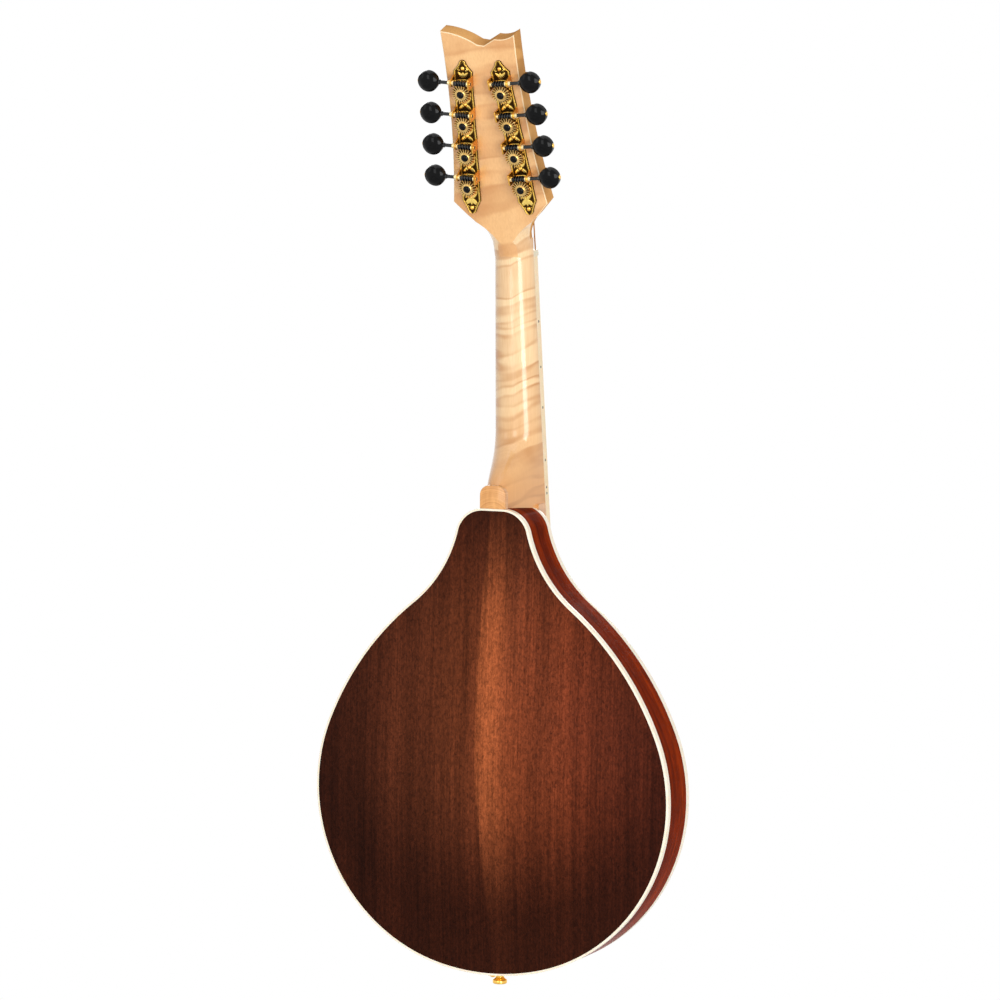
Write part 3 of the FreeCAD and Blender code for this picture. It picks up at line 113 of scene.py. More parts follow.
# Profile of (radius, height) points turned about the local Z axis; one that ends where it starts gets no caps.
def lathePart(profile, steps=48, matrix=None):
    rows = [[(x, y, height) for x, y in circle(radius, steps)] for radius, height in profile]
    caps = profile[0] != profile[-1]
    part = gridPart(rows, wrap=True, capStart=caps and profile[0][0] > 0, capEnd=caps and profile[-1][0] > 0)
    return movedPart(part, matrix) if matrix else part


# Round tube along points.
def tubePart(points, radius, steps):
    points = [Vector(p) for p in points]
    last = len(points) - 1
    ways = [(points[min(last, i + 1)] - points[max(0, i - 1)]).normalized() for i in range(last + 1)]
    side = ways[0].orthogonal().normalized()
    rows = []
    for point, way in zip(points, ways):
        side = (side - way * side.dot(way)).normalized()
        other = way.cross(side)
        rows.append([point + radius * (side * c + other * s) for c, s in circle(1, steps)])
    uvs = [(k / steps, run) for run in runsAlong(points) for k in range(steps)]
    return gridPart(rows, wrap=True, capStart=True, capEnd=True, uvs=uvs)


# The same line with points at even distances.
def evenPoints(points, count):
    runs = runsAlong(points)
    made, k = [], 0
    for i in range(count):
        want = runs[-1] * i / (count - 1)
        while k < len(runs) - 2 and runs[k + 1] < want:
            k += 1
        span = runs[k + 1] - runs[k]
        share = (want - runs[k]) / span if span else 0.0
        made.append(tuple(a + (b - a) * share for a, b in zip(points[k], points[k + 1])))
    return made


# Points on the circle through three (x, z) points, from a to c without c.
def arcThrough(a, b, c, count):
    (ax, az), (bx, bz), (cx, cz) = a, b, c
    d = 2 * (ax * (bz - cz) + bx * (cz - az) + cx * (az - bz))
    if abs(d) < tiny:
        return [tuple(Vector(a).lerp(Vector(c), k / count)) for k in range(count)]
    ux = ((ax**2 + az**2) * (bz - cz) + (bx**2 + bz**2) * (cz - az) + (cx**2 + cz**2) * (az - bz)) / d
    uz = ((ax**2 + az**2) * (cx - bx) + (bx**2 + bz**2) * (ax - cx) + (cx**2 + cz**2) * (bx - ax)) / d
    radius = math.hypot(ax - ux, az - uz)
    t0, t1, t2 = (math.atan2(z - uz, x - ux) for x, z in (a, b, c))
    turn = 2 * math.pi
    mid, end = (t1 - t0) % turn, (t2 - t0) % turn
    if mid > end:
        end -= turn
    return [(ux + radius * math.cos(t0 + end * k / count), uz + radius * math.sin(t0 + end * k / count))
            for k in range(count)]


# The two rounded corners at the top of an outline, right one first.
def roundedTop(half, top, corner, steps):
    points = []
    for side in (1, -1):
        for k in range(steps + 1):
            angle = math.pi / 2 * (k / steps if side > 0 else 1 - k / steps)
            x = half - corner + corner * math.cos(angle)
            points.append((side * x, top - corner + corner * math.sin(angle)))
    return points


# A closed loop of (x, z) points moved inwards, for small bevels; sharpest keeps thin tips from running away.
def insetLoop(loop, amount, sharpest=0.35):
    moved = []
    area = sum(a[0] * b[1] - b[0] * a[1] for a, b in zip(loop, loop[1:] + loop[:1]))
    turn = 1 if area > 0 else -1
    for i, point in enumerate(loop):
        before, after = loop[i - 1], loop[(i + 1) % len(loop)]
        d0 = Vector((point[0] - before[0], point[1] - before[1])).normalized()
        d1 = Vector((after[0] - point[0], after[1] - point[1])).normalized()
        n0, n1 = Vector((-d0.y, d0.x)) * turn, Vector((-d1.y, d1.x)) * turn
        middle = (n0 + n1).normalized()
        reach = amount / max(sharpest, middle.dot(n0))
        moved.append((point[0] + middle.x * reach, point[1] + middle.y * reach))
    return moved


# Steps of (inset, height) round the lower and the upper edge of a plate.
def edgeLevels(low, high, lowBevel, highBevel, steps=4):
    levels = []
    for k in range(steps + 1 if lowBevel else 1):
        angle = math.pi / 2 * k / steps
        levels.append((lowBevel * (1 - math.sin(angle)), low + lowBevel * (1 - math.cos(angle))))
    for k in range(steps + 1 if highBevel else 1):
        angle = math.pi / 2 * k / steps
        levels.append((highBevel * (1 - math.cos(angle)), high - highBevel * (1 - math.sin(angle))))
    return levels


# Plate with a closed (x, z) outline between two y heights, with rounded edges.
def slabPart(loop, low, high, lowBevel=0.0, highBevel=0.0):
    rows = []
    for inset, y in edgeLevels(low, high, lowBevel, highBevel):
        rows.append([(x, y, z) for x, z in (insetLoop(loop, inset) if inset else loop)])
    return solidPart(rows)


# A mesh object from parts in millimetres, riding on a body of the frame, or on none.
def makePiece(name, parts, finish, body="body", sharp=35, replaces=(), place=None):
    part = joinedPart(parts if isinstance(parts, list) else [parts])
    if place is not None:
        part = movedPart(part, place)
    mesh = bpy.data.meshes.new(name)
    mesh.from_pydata([v * mm for v in part["verts"]], [], part["faces"])
    layer = mesh.uv_layers.new(name="along")
    for loop in mesh.loops:
        u, v = part["uvs"][loop.vertex_index]
        layer.data[loop.index].uv = (u * mm, v * mm)
    work = bmesh.new()
    work.from_mesh(mesh)
    bmesh.ops.recalc_face_normals(work, faces=work.faces)
    work.to_mesh(mesh)
    work.free()
    mesh.shade_smooth()
    mesh.set_sharp_from_angle(angle=math.radians(sharp))
    mesh.materials.append(finishes[finish])
    piece = bpy.data.objects.new(name, mesh)
    bpy.context.scene.collection.objects.link(piece)
    if body:
        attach(piece, body)
    if replaces:
        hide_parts(*replaces)
    return piece


# Cuts a piece with another shape and keeps the result as its mesh.
def cutPiece(piece, shape, way="DIFFERENCE", place=None):
    cutter = makePiece("cutter", shape, "head", place=place)
    change = piece.modifiers.new("cut", "BOOLEAN")
    change.object = cutter
    change.operation = way
    change.solver = "EXACT"
    graph = bpy.context.evaluated_depsgraph_get()
    mesh = bpy.data.meshes.new_from_object(piece.evaluated_get(graph))
    piece.modifiers.clear()
    piece.data = mesh
    bpy.data.objects.remove(cutter)


# Finish helpers

# Colour from its 0 to 255 values on a screen.
def tone(red, green, blue):
    return tuple(((c / 255 + 0.055) / 1.055) ** 2.4 if c > 10 else c / 255 / 12.92
                 for c in (red, green, blue)) + (1.0,)


def addNode(tree, kind, inputs=None, **settings):
    made = tree.nodes.new(kind)
    for key, value in settings.items():
        setattr(made, key, value)
    for key, value in (inputs or {}).items():
        if isinstance(value, bpy.types.NodeSocket):
            tree.links.new(value, made.inputs[key])
        else:
            made.inputs[key].default_value = value
    return made


def newFinish(name, **shaderValues):
    finish = bpy.data.materials.new(name)
    finish.use_nodes = True
    shader = finish.node_tree.nodes["Principled BSDF"]
    for key, value in shaderValues.items():
        shader.inputs[key.replace("_", " ")].default_value = value
    return finish, finish.node_tree, shader


def ownSpot(tree):
    return addNode(tree, "ShaderNodeTexCoord").outputs["Object"]


# The X, Y and Z of the piece's own coordinates.
def ownAxes(tree):
    return addNode(tree, "ShaderNodeSeparateXYZ", {"Vector": ownSpot(tree)}).outputs


# Coordinates in cells to a metre, one count or one for each axis, so that a texture gets its grain direction.
def textureSpot(tree, cells, shift=(0, 0, 0), turn=(0, 0, 0), uv=False):
    if not isinstance(cells, tuple):
        cells = (cells, cells, cells)
    source = addNode(tree, "ShaderNodeUVMap", uv_map="along").outputs[0] if uv else ownSpot(tree)
    return addNode(tree, "ShaderNodeMapping", {"Vector": source, "Scale": cells, "Location": shift,
                                               "Rotation": turn}).outputs[0]


# Soft random pattern at a socket's coordinates, or at cells for textureSpot.
def noise(tree, spot, detail, rough, bend=0.0, **placing):
    if not isinstance(spot, bpy.types.NodeSocket):
        spot = textureSpot(tree, spot, **placing)
    return addNode(tree, "ShaderNodeTexNoise", {"Vector": spot, "Scale": 1.0, "Detail": detail,
                                                "Roughness": rough, "Distortion": bend}).outputs["Fac"]


# Stops are (place, level) or (place, colour on a screen), in rising order.
def ramp(tree, factor, stops, smooth=False):
    made = addNode(tree, "ShaderNodeValToRGB", {"Fac": factor})
    bar = made.color_ramp
    bar.interpolation = "EASE" if smooth else "LINEAR"
    for k, (spot, value) in enumerate([stops[0], stops[-1]] + list(stops[1:-1])):
        stop = bar.elements[k] if k < 2 else bar.elements.new(spot)
        stop.position = spot
        stop.color = tone(*value) if isinstance(value, tuple) else (value, value, value, 1.0)
    return made.outputs["Color"]


# Rise from one level or colour to another between two places.
def fade(tree, factor, span, low=0.0, high=1.0, smooth=False):
    return ramp(tree, factor, ((span[0], low), (span[1], high)), smooth)


def mixed(tree, share, first, second, way="MIX"):
    made = addNode(tree, "ShaderNodeMix", data_type="RGBA", blend_type=way)
    for socket, value in ((made.inputs[0], share), (made.inputs[6], first), (made.inputs[7], second)):
        if isinstance(value, bpy.types.NodeSocket):
            tree.links.new(value, socket)
        else:
            socket.default_value = tone(*value) if isinstance(value, tuple) else value
    return made.outputs[2]


def sums(tree, way, first, second=0.0, third=None, clamp=False):
    inputs = {0: first, 1: second}
    if third is not None:
        inputs[2] = third
    return addNode(tree, "ShaderNodeMath", inputs, operation=way, use_clamp=clamp).outputs[0]


def plus(tree, first, second):
    return sums(tree, "ADD", first, second)


def times(tree, first, second):
    return sums(tree, "MULTIPLY", first, second)


def scaled(tree, value, factor, offset):
    return sums(tree, "MULTIPLY_ADD", value, factor, offset)


def squared(tree, value):
    return times(tree, value, value)


def bump(tree, shader, height, strength, distance):
    made = addNode(tree, "ShaderNodeBump", {"Height": height, "Strength": strength, "Distance": distance})
    tree.links.new(made.outputs[0], shader.inputs["Normal"])


def cover(tree, shader, colour, roughness):
    tree.links.new(colour, shader.inputs["Base Color"])
    tree.links.new(roughness, shader.inputs["Roughness"])


# Wood

mahogany = dict(
    ribbonShare=1.1, threadShare=1.6, poreSpan=(0.58, 0.66), poreShare=0.5, poreDepth=0.6, poreDull=0.25,
    threadBump=0.25, bump=0.35, bumpDepth=0.0001,
)
backWood = dict(
    mahogany, darkest=(34, 12, 7), roughness=0.30, gloss=0.04, fleckShare=2.0, uv=False,
    lanes=(1 / 0.012, 3.0, 1.9), laneShift=(2.3, 0, 1.2), threads=(1 / 0.0021, 20.0, 6.0),
    pores=(6 / 0.003, 1 / 0.003, 0.4 / 0.003), flecks=(620, 30, 360), fleckTurn=(0, 0.35, 0),
    stripes=((0.02, (96, 40, 24)), (0.25, (110, 48, 26)), (0.40, (122, 57, 31)), (0.450, (132, 64, 35)),
             (0.488, (148, 76, 42)), (0.527, (144, 74, 41)), (0.534, (100, 48, 26)), (0.62, (97, 47, 26)),
             (0.76, (92, 44, 25)), (0.98, (76, 34, 20))),
    stripeSpan=0.28, bow=0.4, drift=0.005, driftCells=(1.0, 1.0, 7.0), driftShift=(0, 0, 4.0),
    endTone=(94, 42, 24), endSpan=(0.07, 0.15), endShare=0.85,
    # Darkening away from the middle of the back: partly a burst stain, partly painted shade.
    stainAndShade=((0.12, 1.0), (0.50, 0.80), (0.86, 0.36), (1.15, 0.26)), stainAndShadeCentre=(-0.006, -0.322),
    stainAndShadeReach=(0.152, 0.158, 0.150),
)
ribWood = dict(
    mahogany, darkest=(48, 10, 0), roughness=0.20, gloss=0.003, fleckShare=1.3, uv=True,
    lanes=(2.0, 1 / 0.016, 1), laneShift=(0, 0, 0), threads=(9.0, 1 / 0.0024, 1),
    pores=(0.45 / 0.0026, 7 / 0.0026, 1), flecks=(60, 160, 1), fleckTurn=(0, 0, 0),
    stripes=((0.30, (98, 24, 0)), (0.50, (126, 37, 0)), (0.70, (150, 51, 0))),
)


# Stained mahogany: stripes from the ribbon figure, fine threads, flecks and short pores; on the back the
# colour also darkens away from its middle, partly a burst stain and partly painted shade.
def mahoganyFinish(name, look):
    finish, tree, shader = newFinish(name, Specular_IOR_Level=look["gloss"])
    uv = look["uv"]
    ribbon = noise(tree, look["lanes"], 2.0, 0.45, 0.15, shift=look["laneShift"], uv=uv)
    thread = noise(tree, look["threads"], 3.0, 0.65, uv=uv)
    fleck = noise(tree, look["flecks"], 2.0, 0.6, 0.8, turn=look["fleckTurn"], uv=uv)
    pits = fade(tree, noise(tree, look["pores"], 1.0, 0.5, uv=uv), look["poreSpan"])
    if uv:
        colour, lift = ramp(tree, ribbon, look["stripes"]), 1.0
    else:
        axes = ownAxes(tree)
        colour, lift = backStripes(tree, axes, look), stainAndShadeShare(tree, axes, look)
    for figure, share in ((ribbon, look["ribbonShare"]), (thread, look["threadShare"]),
                          (fleck, look["fleckShare"])):
        lift = times(tree, lift, scaled(tree, figure, share, 1 - share / 2))
    colour = mixed(tree, 1.0, colour, lift, "MULTIPLY")
    deep = mixed(tree, look["poreDepth"], colour, look["darkest"])
    colour = mixed(tree, times(tree, pits, look["poreShare"]), colour, deep)
    cover(tree, shader, colour, scaled(tree, pits, look["poreDull"], look["roughness"]))
    relief = scaled(tree, pits, -1.0, times(tree, thread, look["threadBump"]))
    bump(tree, shader, relief, look["bump"], look["bumpDepth"])
    return finish


# Broad stripes up the back, bowed and drifting a little, browner towards both ends.
def backStripes(tree, axes, look):
    drift = noise(tree, look["driftCells"], 2.0, 0.5, shift=look["driftShift"])
    rise = sums(tree, "ABSOLUTE", sums(tree, "SUBTRACT", axes["Z"], look["stainAndShadeCentre"][1]))
    bowed = plus(tree, axes["X"], times(tree, squared(tree, rise), look["bow"]))
    across = scaled(tree, drift, look["drift"], bowed)
    span = look["stripeSpan"]
    across = scaled(tree, across, 1 / span, 0.5 - look["drift"] / 2 / span)
    ends = fade(tree, rise, look["endSpan"], 0.0, look["endShare"])
    return mixed(tree, ends, ramp(tree, across, look["stripes"]), look["endTone"])


# How much of the colour is left under the stain and the painted shade: darker the farther from the middle of
# the back, partly a burst stain and partly painted shade where light falls off towards the bottom and the
# sides.
def stainAndShadeShare(tree, axes, look):
    (x, z), (side, up, down) = look["stainAndShadeCentre"], look["stainAndShadeReach"]
    across = times(tree, sums(tree, "SUBTRACT", axes["X"], x), 1 / side)
    rise = sums(tree, "SUBTRACT", axes["Z"], z)
    above = times(tree, sums(tree, "MAXIMUM", rise, 0.0), 1 / up)
    below = times(tree, sums(tree, "MINIMUM", rise, 0.0), 1 / down)
    far = plus(tree, plus(tree, squared(tree, across), squared(tree, above)), squared(tree, below))
    return ramp(tree, sums(tree, "SQRT", far), look["stainAndShade"])


mapleLook = dict(
    pale=(252, 222, 176), middle=(244, 202, 148), dark=(200, 140, 82), lineShare=0.78, bandShare=0.42,
    fineShare=0.22,
    curlStep=0.0100, acrossCells=12.0, slope=0.12, lean=0.45, leanFrom=0.002, drift=0.012,
    driftCells=(22, 22, 26),
    line=((0.40, 0.0), (0.49, 1.0), (0.60, 0.0)), bandSpan=(0.36, 0.62), patchCells=30,
    patchSpan=(0.32, 0.62),
    patchLow=0.25, grainCells=(900, 900, 22), grainSpan=(0.30, 0.62), warmCells=(30, 30, 5),
    heelTone=(222, 158, 90),
    heelShare=0.92, heelSpan=(0.105, 0.165), roughness=0.18, gloss=0.45, coat=0.6, bump=0.10,
    bumpDepth=0.0003,
)
headLook = dict(mapleLook, pale=(252, 208, 148), middle=(232, 172, 108), dark=(200, 134, 74), lineShare=0.42,
                bandShare=0.48, lean=0.1, curlStep=0.014)
# Paler maple on the headstock's bevels: a painted highlight along the bevel.
bevelHighlightLook = dict(mapleLook, pale=(255, 232, 192), middle=(252, 220, 172), dark=(236, 190, 134),
                     lineShare=0.1,
                     bandShare=0.3)
# Darker maple on the headstock's side faces: painted shade on the sides, with no gloss or coat.
shadedHeadEdgeLook = dict(mapleLook, pale=(244, 188, 120), middle=(224, 164, 98), dark=(168, 114, 64),
                    lineShare=0.3,
                    bandShare=0.5, curlStep=0.016, gloss=0.0, coat=0.0)


# Flamed maple under clear gloss: thin curled lines and soft bands across the grain, fine lines along it.
def mapleFinish(name, look):
    finish, tree, shader = newFinish(name, Specular_IOR_Level=look["gloss"], Coat_Weight=look["coat"],
                                     Coat_Roughness=0.04)
    axes = ownAxes(tree)
    height = scaled(tree, axes["X"], look["slope"], axes["Z"])
    slant = sums(tree, "MINIMUM", plus(tree, axes["X"], look["leanFrom"]), 0.0)
    height = scaled(tree, slant, look["lean"], height)
    height = scaled(tree, noise(tree, look["driftCells"], 2.0, 0.5), look["drift"], height)
    wide = look["acrossCells"]
    spot = addNode(tree, "ShaderNodeCombineXYZ", {
        "X": times(tree, axes["X"], wide), "Y": times(tree, axes["Y"], wide),
        "Z": times(tree, height, 1 / look["curlStep"])}).outputs[0]
    waves = noise(tree, spot, 1.0, 0.4)
    thin = ramp(tree, waves, look["line"], smooth=True)
    band = fade(tree, waves, look["bandSpan"], smooth=True)
    patch = fade(tree, noise(tree, look["patchCells"], 2.0, 0.5, shift=(3, 1, 2)), look["patchSpan"],
                 look["patchLow"])
    share = scaled(tree, thin, look["lineShare"], times(tree, band, look["bandShare"]))
    share = sums(tree, "MULTIPLY", share, patch, clamp=True)
    grain = noise(tree, look["grainCells"], 3.0, 0.6)
    base = mixed(tree, noise(tree, look["warmCells"], 2.0, 0.5), look["pale"], look["middle"])
    heel = fade(tree, times(tree, axes["Z"], -1.0), look["heelSpan"], 0.0, look["heelShare"])
    base = mixed(tree, heel, base, look["heelTone"])
    colour = mixed(tree, share, base, look["dark"])
    lines = fade(tree, grain, look["grainSpan"], 1.0, 0.0)
    colour = mixed(tree, times(tree, lines, look["fineShare"]), colour, look["dark"])
    cover(tree, shader, colour, scaled(tree, band, 0.08, look["roughness"]))
    bump(tree, shader, plus(tree, times(tree, band, 0.7), times(tree, grain, 0.2)), look["bump"],
         look["bumpDepth"])
    return finish


heelLook = dict(dark=(196, 130, 66), light=(232, 170, 100), ringCentre=-0.186, ringCells=900.0,
                rayCells=(260, 200, 60))


# End grain of the heel cap: growth rings as arcs, with short rays.
def endGrainFinish(name, look):
    finish, tree, shader = newFinish(name, Specular_IOR_Level=0.45, Coat_Weight=0.5, Coat_Roughness=0.05)
    axes = ownAxes(tree)
    rise = sums(tree, "SUBTRACT", axes["Z"], look["ringCentre"])
    far = sums(tree, "SQRT", plus(tree, squared(tree, axes["X"]), squared(tree, rise)))
    spot = addNode(tree, "ShaderNodeCombineXYZ", {"X": times(tree, far, look["ringCells"])}).outputs[0]
    rings = noise(tree, spot, 2.0, 0.5)
    rays = noise(tree, look["rayCells"], 2.0, 0.6)
    level = scaled(tree, rays, 0.4, times(tree, rings, 0.6))
    cover(tree, shader, fade(tree, level, (0.36, 0.62), look["dark"], look["light"]),
          scaled(tree, rings, 0.1, 0.2))
    bump(tree, shader, rings, 0.05, 0.0001)
    return finish


# Straight-grained wood: growth lines across, fibres along z or x.
def plainWood(name, dark, light, step, grainWay, roughness=0.5, gloss=0.3, coat=0.0):
    finish, tree, shader = newFinish(name, Specular_IOR_Level=gloss, Coat_Weight=coat, Coat_Roughness=0.1)
    fine, along = 1 / step, 3.0
    cells = (fine, fine * 0.4, along) if grainWay == "z" else (along, fine * 0.4, fine)
    rings = noise(tree, cells, 2.0, 0.6, 0.1)
    fibres = noise(tree, tuple(count * 3 for count in cells), 4.0, 0.7)
    share = scaled(tree, fibres, 0.35, times(tree, rings, 0.75))
    cover(tree, shader, fade(tree, share, (0.40, 0.66), dark, light),
          scaled(tree, rings, 0.15, roughness - 0.07))
    bump(tree, shader, fibres, 0.25, 0.0001)
    return finish


# Metal, plastic and bone

def metalFinish(name, colour, dull, roughness, scratch=0.25):
    finish, tree, shader = newFinish(name, Metallic=1.0)
    cloud = noise(tree, 160, 3.0, 0.6, 0.4)
    scuff = noise(tree, (2400, 500, 2400), 2.0, 0.6)
    share = times(tree, fade(tree, cloud, (0.42, 0.68)), 0.6)
    cover(tree, shader, mixed(tree, share, colour, dull),
          scaled(tree, cloud, scratch, roughness - scratch / 2))
    bump(tree, shader, scuff, 0.08, 0.00005)
    return finish


# Moulded plastic, bone or celluloid with faint clouding.
def moulded(name, colour, other, roughness, gloss=0.5, coat=0.0, through=0.0):
    finish, tree, shader = newFinish(name, Specular_IOR_Level=gloss, Coat_Weight=coat, Coat_Roughness=0.04,
                                     Subsurface_Weight=through, Subsurface_Scale=0.002)
    cloud = noise(tree, 90, 4.0, 0.6, 0.6)
    fine = noise(tree, 1500, 2.0, 0.5)
    cover(tree, shader, mixed(tree, fade(tree, cloud, (0.35, 0.65)), colour, other),
          scaled(tree, fine, 0.06, roughness - 0.03))
    bump(tree, shader, fine, 0.05, 0.00003)
    return finish


# Aged gold: bright on raised work and dark in the ground, from the plate's own relief.
def engravedFinish(name):
    finish, tree, shader = newFinish(name, Metallic=1.0)
    level = addNode(tree, "ShaderNodeAttribute", attribute_name="relief").outputs["Fac"]
    cloud = noise(tree, 700, 3.0, 0.6)
    stipple = noise(tree, 2600, 2.0, 0.6)
    for figure, share in ((cloud, 0.35), (stipple, 0.55)):
        level = scaled(tree, sums(tree, "SUBTRACT", figure, 0.5), share, level)
    colour = ramp(tree, level, ((0.02, (52, 34, 14)), (0.26, (112, 82, 32)), (0.52, (206, 160, 62)),
                                (0.84, (255, 222, 122))))
    cover(tree, shader, colour, fade(tree, level, (0.15, 0.75), 0.50, 0.24))
    bump(tree, shader, cloud, 0.12, 0.00008)
    return finish


# Bronze winding: fine ridges across the string, by the length along it in millimetres, with painted shade in
# the grooves between turns.
def woundFinish(name, ridgeStep=0.24):
    finish, tree, shader = newFinish(name, Metallic=1.0)
    axes = addNode(tree, "ShaderNodeSeparateXYZ",
                   {"Vector": textureSpot(tree, (0, 1 / mm, 0), uv=True)}).outputs
    ridge = sums(tree, "SINE", times(tree, axes["Y"], 2 * math.pi / ridgeStep))
    level = scaled(tree, ridge, 0.5, 0.5)
    cover(tree, shader, fade(tree, level, (0.0, 0.7), (120, 72, 34), (226, 166, 102)),
          scaled(tree, level, -0.1, 0.34))
    bump(tree, shader, level, 0.6, 0.00008)
    return finish


# Pearl on the fretboard's face and black on its bass edge.
def dotFinish(name, edgeX=-0.012):
    finish, tree, shader = newFinish(name, Specular_IOR_Level=0.5, Coat_Weight=0.3, Coat_Roughness=0.05)
    edge = sums(tree, "LESS_THAN", ownAxes(tree)["X"], edgeX)
    cloud = noise(tree, 350, 4.0, 0.6, 1.2)
    pearl = fade(tree, cloud, (0.35, 0.65), (238, 236, 226), (196, 212, 216))
    cover(tree, shader, mixed(tree, edge, pearl, (20, 18, 18)), scaled(tree, cloud, 0.1, 0.2))
    return finish


finishes = {
    "back": mahoganyFinish("stained back mahogany", backWood),
    "rib": mahoganyFinish("stained rib mahogany", ribWood),
    "inside": plainWood("bare inner mahogany", (124, 78, 50), (168, 116, 78), 0.004, "z", 0.7, 0.2),
    "top": plainWood("spruce top", (214, 164, 96), (240, 202, 142), 0.0012, "z", 0.34, 0.4, 0.3),
    "brace": plainWood("spruce brace", (206, 168, 112), (232, 200, 150), 0.0012, "z", 0.65, 0.2),
    "neck": mapleFinish("flamed maple", mapleLook),
    "head": mapleFinish("headstock maple", headLook),
    # Paler bevel maple: a painted highlight.
    "headBevel": mapleFinish("headstock bevel maple painted highlight", bevelHighlightLook),
    # Darker side maple: painted shade.
    "shadedHeadEdge": mapleFinish("headstock edge maple painted shade", shadedHeadEdgeLook),
    "heel": endGrainFinish("heel end grain", heelLook),
    "binding": moulded("ivory binding", (252, 240, 220), (244, 228, 202), 0.28, 0.4, 0.2, 0.1),
    "boardEdge": moulded("cream board edge", (250, 226, 186), (242, 214, 170), 0.28, 0.3, 0.1, 0.1),
    "ringDark": moulded("dark ring", (30, 22, 18), (42, 30, 24), 0.4, 0.3),
    "ringPearl": moulded("pearl ring", (214, 222, 214), (170, 196, 196), 0.2, 0.5, 0.4),
    "board": plainWood("dark rosewood", (34, 20, 15), (74, 45, 31), 0.0016, "z", 0.45, 0.3),
    "bridge": plainWood("bridge rosewood", (30, 17, 13), (62, 38, 27), 0.0018, "x", 0.42, 0.3),
    "bone": moulded("bone nut", (240, 230, 206), (226, 212, 180), 0.3, 0.5, 0.0, 0.1),
    "wire": metalFinish("fret wire", (206, 206, 200), (176, 176, 172), 0.22),
    "steel": metalFinish("rod steel", (150, 152, 156), (112, 114, 118), 0.35),
    "gold": metalFinish("bright gold", (255, 206, 104), (226, 168, 66), 0.22),
    "aged": engravedFinish("aged engraved gold"),
    "warmGold": metalFinish("warm gold ears", (226, 172, 80), (188, 130, 46), 0.28),
    "paleGold": metalFinish("pale gold collars", (255, 236, 184), (226, 190, 124), 0.20),
    "brass": metalFinish("gear brass", (236, 200, 128), (172, 126, 62), 0.24),
    # Darker brass for the floor between the gear's fins: painted shade.
    "gearFloorShade": metalFinish("gear floor brass painted shade", (84, 60, 28), (48, 33, 15), 0.42),
    "post": metalFinish("post metal", (252, 204, 108), (216, 164, 76), 0.2),
    "black": moulded("black button", (5, 5, 6), (9, 9, 10), 0.10, 0.13),
    "blackMetal": moulded("black enamelled steel", (8, 8, 9), (16, 15, 16), 0.12, 0.6),
    "plain": metalFinish("plain string steel", (214, 214, 212), (190, 190, 188), 0.2),
    "wound": woundFinish("bronze winding"),
    "dots": dotFinish("pearl and black dots"),
}
print("finishes made", len(finishes))


# Body

bodyShape = dict(
    topFlat=7.6, topZ=-179.0, arcs=((20.9, 76.5, -1), (97.0, 37.7, 1), (217.0, 29.7, -1), (130.0, 97.7, -1)),
    archCentre=-385.0, frontY=2.9, backY=45.4, backArch=8.0, topArch=16.5, backThick=2.6, topThick=3.2,
    ribThick=2.4, bindingWidth=1.5, bindingHeight=6.0, bindingRound=0.45, holeZ=-272.0, holeHalf=(28.0, 19.0),
)


# Points of the treble half of the outline, from the neck end to the tail.
def halfOutline(inset, steps, fewest=8):
    x, z, heading = bodyShape["topFlat"], bodyShape["topZ"], 0.0
    points = [(0.0, z - inset), (x * 0.5, z - inset)]
    arcs = []
    for radius, turn, side in bodyShape["arcs"]:
        toward = math.radians(heading + 90 * side)
        cx, cz = x + radius * math.cos(toward), z + radius * math.sin(toward)
        arcs.append((cx, cz, radius + side * inset, heading, turn * side, side))
        heading += turn * side
        toward = math.radians(heading + 90 * side)
        x, z = cx - radius * math.cos(toward), cz - radius * math.sin(toward)
    lastTurn = 180 + heading
    tailRadius = x / math.sin(math.radians(lastTurn))
    cz = z + tailRadius * math.cos(math.radians(lastTurn))
    arcs.append((0.0, cz, tailRadius - inset, heading, -lastTurn, -1))
    for cx, cz, radius, start, turn, side in arcs:
        count = max(fewest, int(abs(turn) / 90 * steps))
        for k in range(count):
            toward = math.radians(start + turn * k / count + 90 * side)
            points.append((cx - radius * math.cos(toward), cz - radius * math.sin(toward)))
    points.append((0.0, cz - radius))
    return points


def outlineLoop(inset=0.0, steps=44):
    half = halfOutline(inset, steps)
    return half + [(-x, z) for x, z in reversed(half[1:-1])]


outerLoop = outlineLoop()
tailZ = min(z for x, z in outerLoop)
archCentre = Vector((0.0, bodyShape["archCentre"]))


# Share of an arch's height at a distance from its centre.
def archShare(far, reach):
    ratio = min(1.0, far / reach)
    return (1 - ratio * ratio) ** 2


# Rings from the arch centre out to a loop; the height follows the distance to the outline.
def archRings(loop, height, base, count=34, ease=0.9):
    rows = []
    for k in range(1, count + 1):
        row = []
        for edge, outer in zip(loop, outerLoop):
            point = archCentre.lerp(Vector(edge), (k / count) ** ease)
            share = archShare((point - archCentre).length, (Vector(outer) - archCentre).length)
            row.append((point.x, base + height * share, point.y))
        rows.append(row)
    return rows


# Arched plate with its outer face at base plus arch, and thickness inwards.
def archedPlate(height, base, thick):
    outer = archRings(outlineLoop(bodyShape["bindingWidth"]), height, base)
    return solidPart(outer + [[(x, y - thick, z) for x, y, z in row] for row in reversed(outer)])


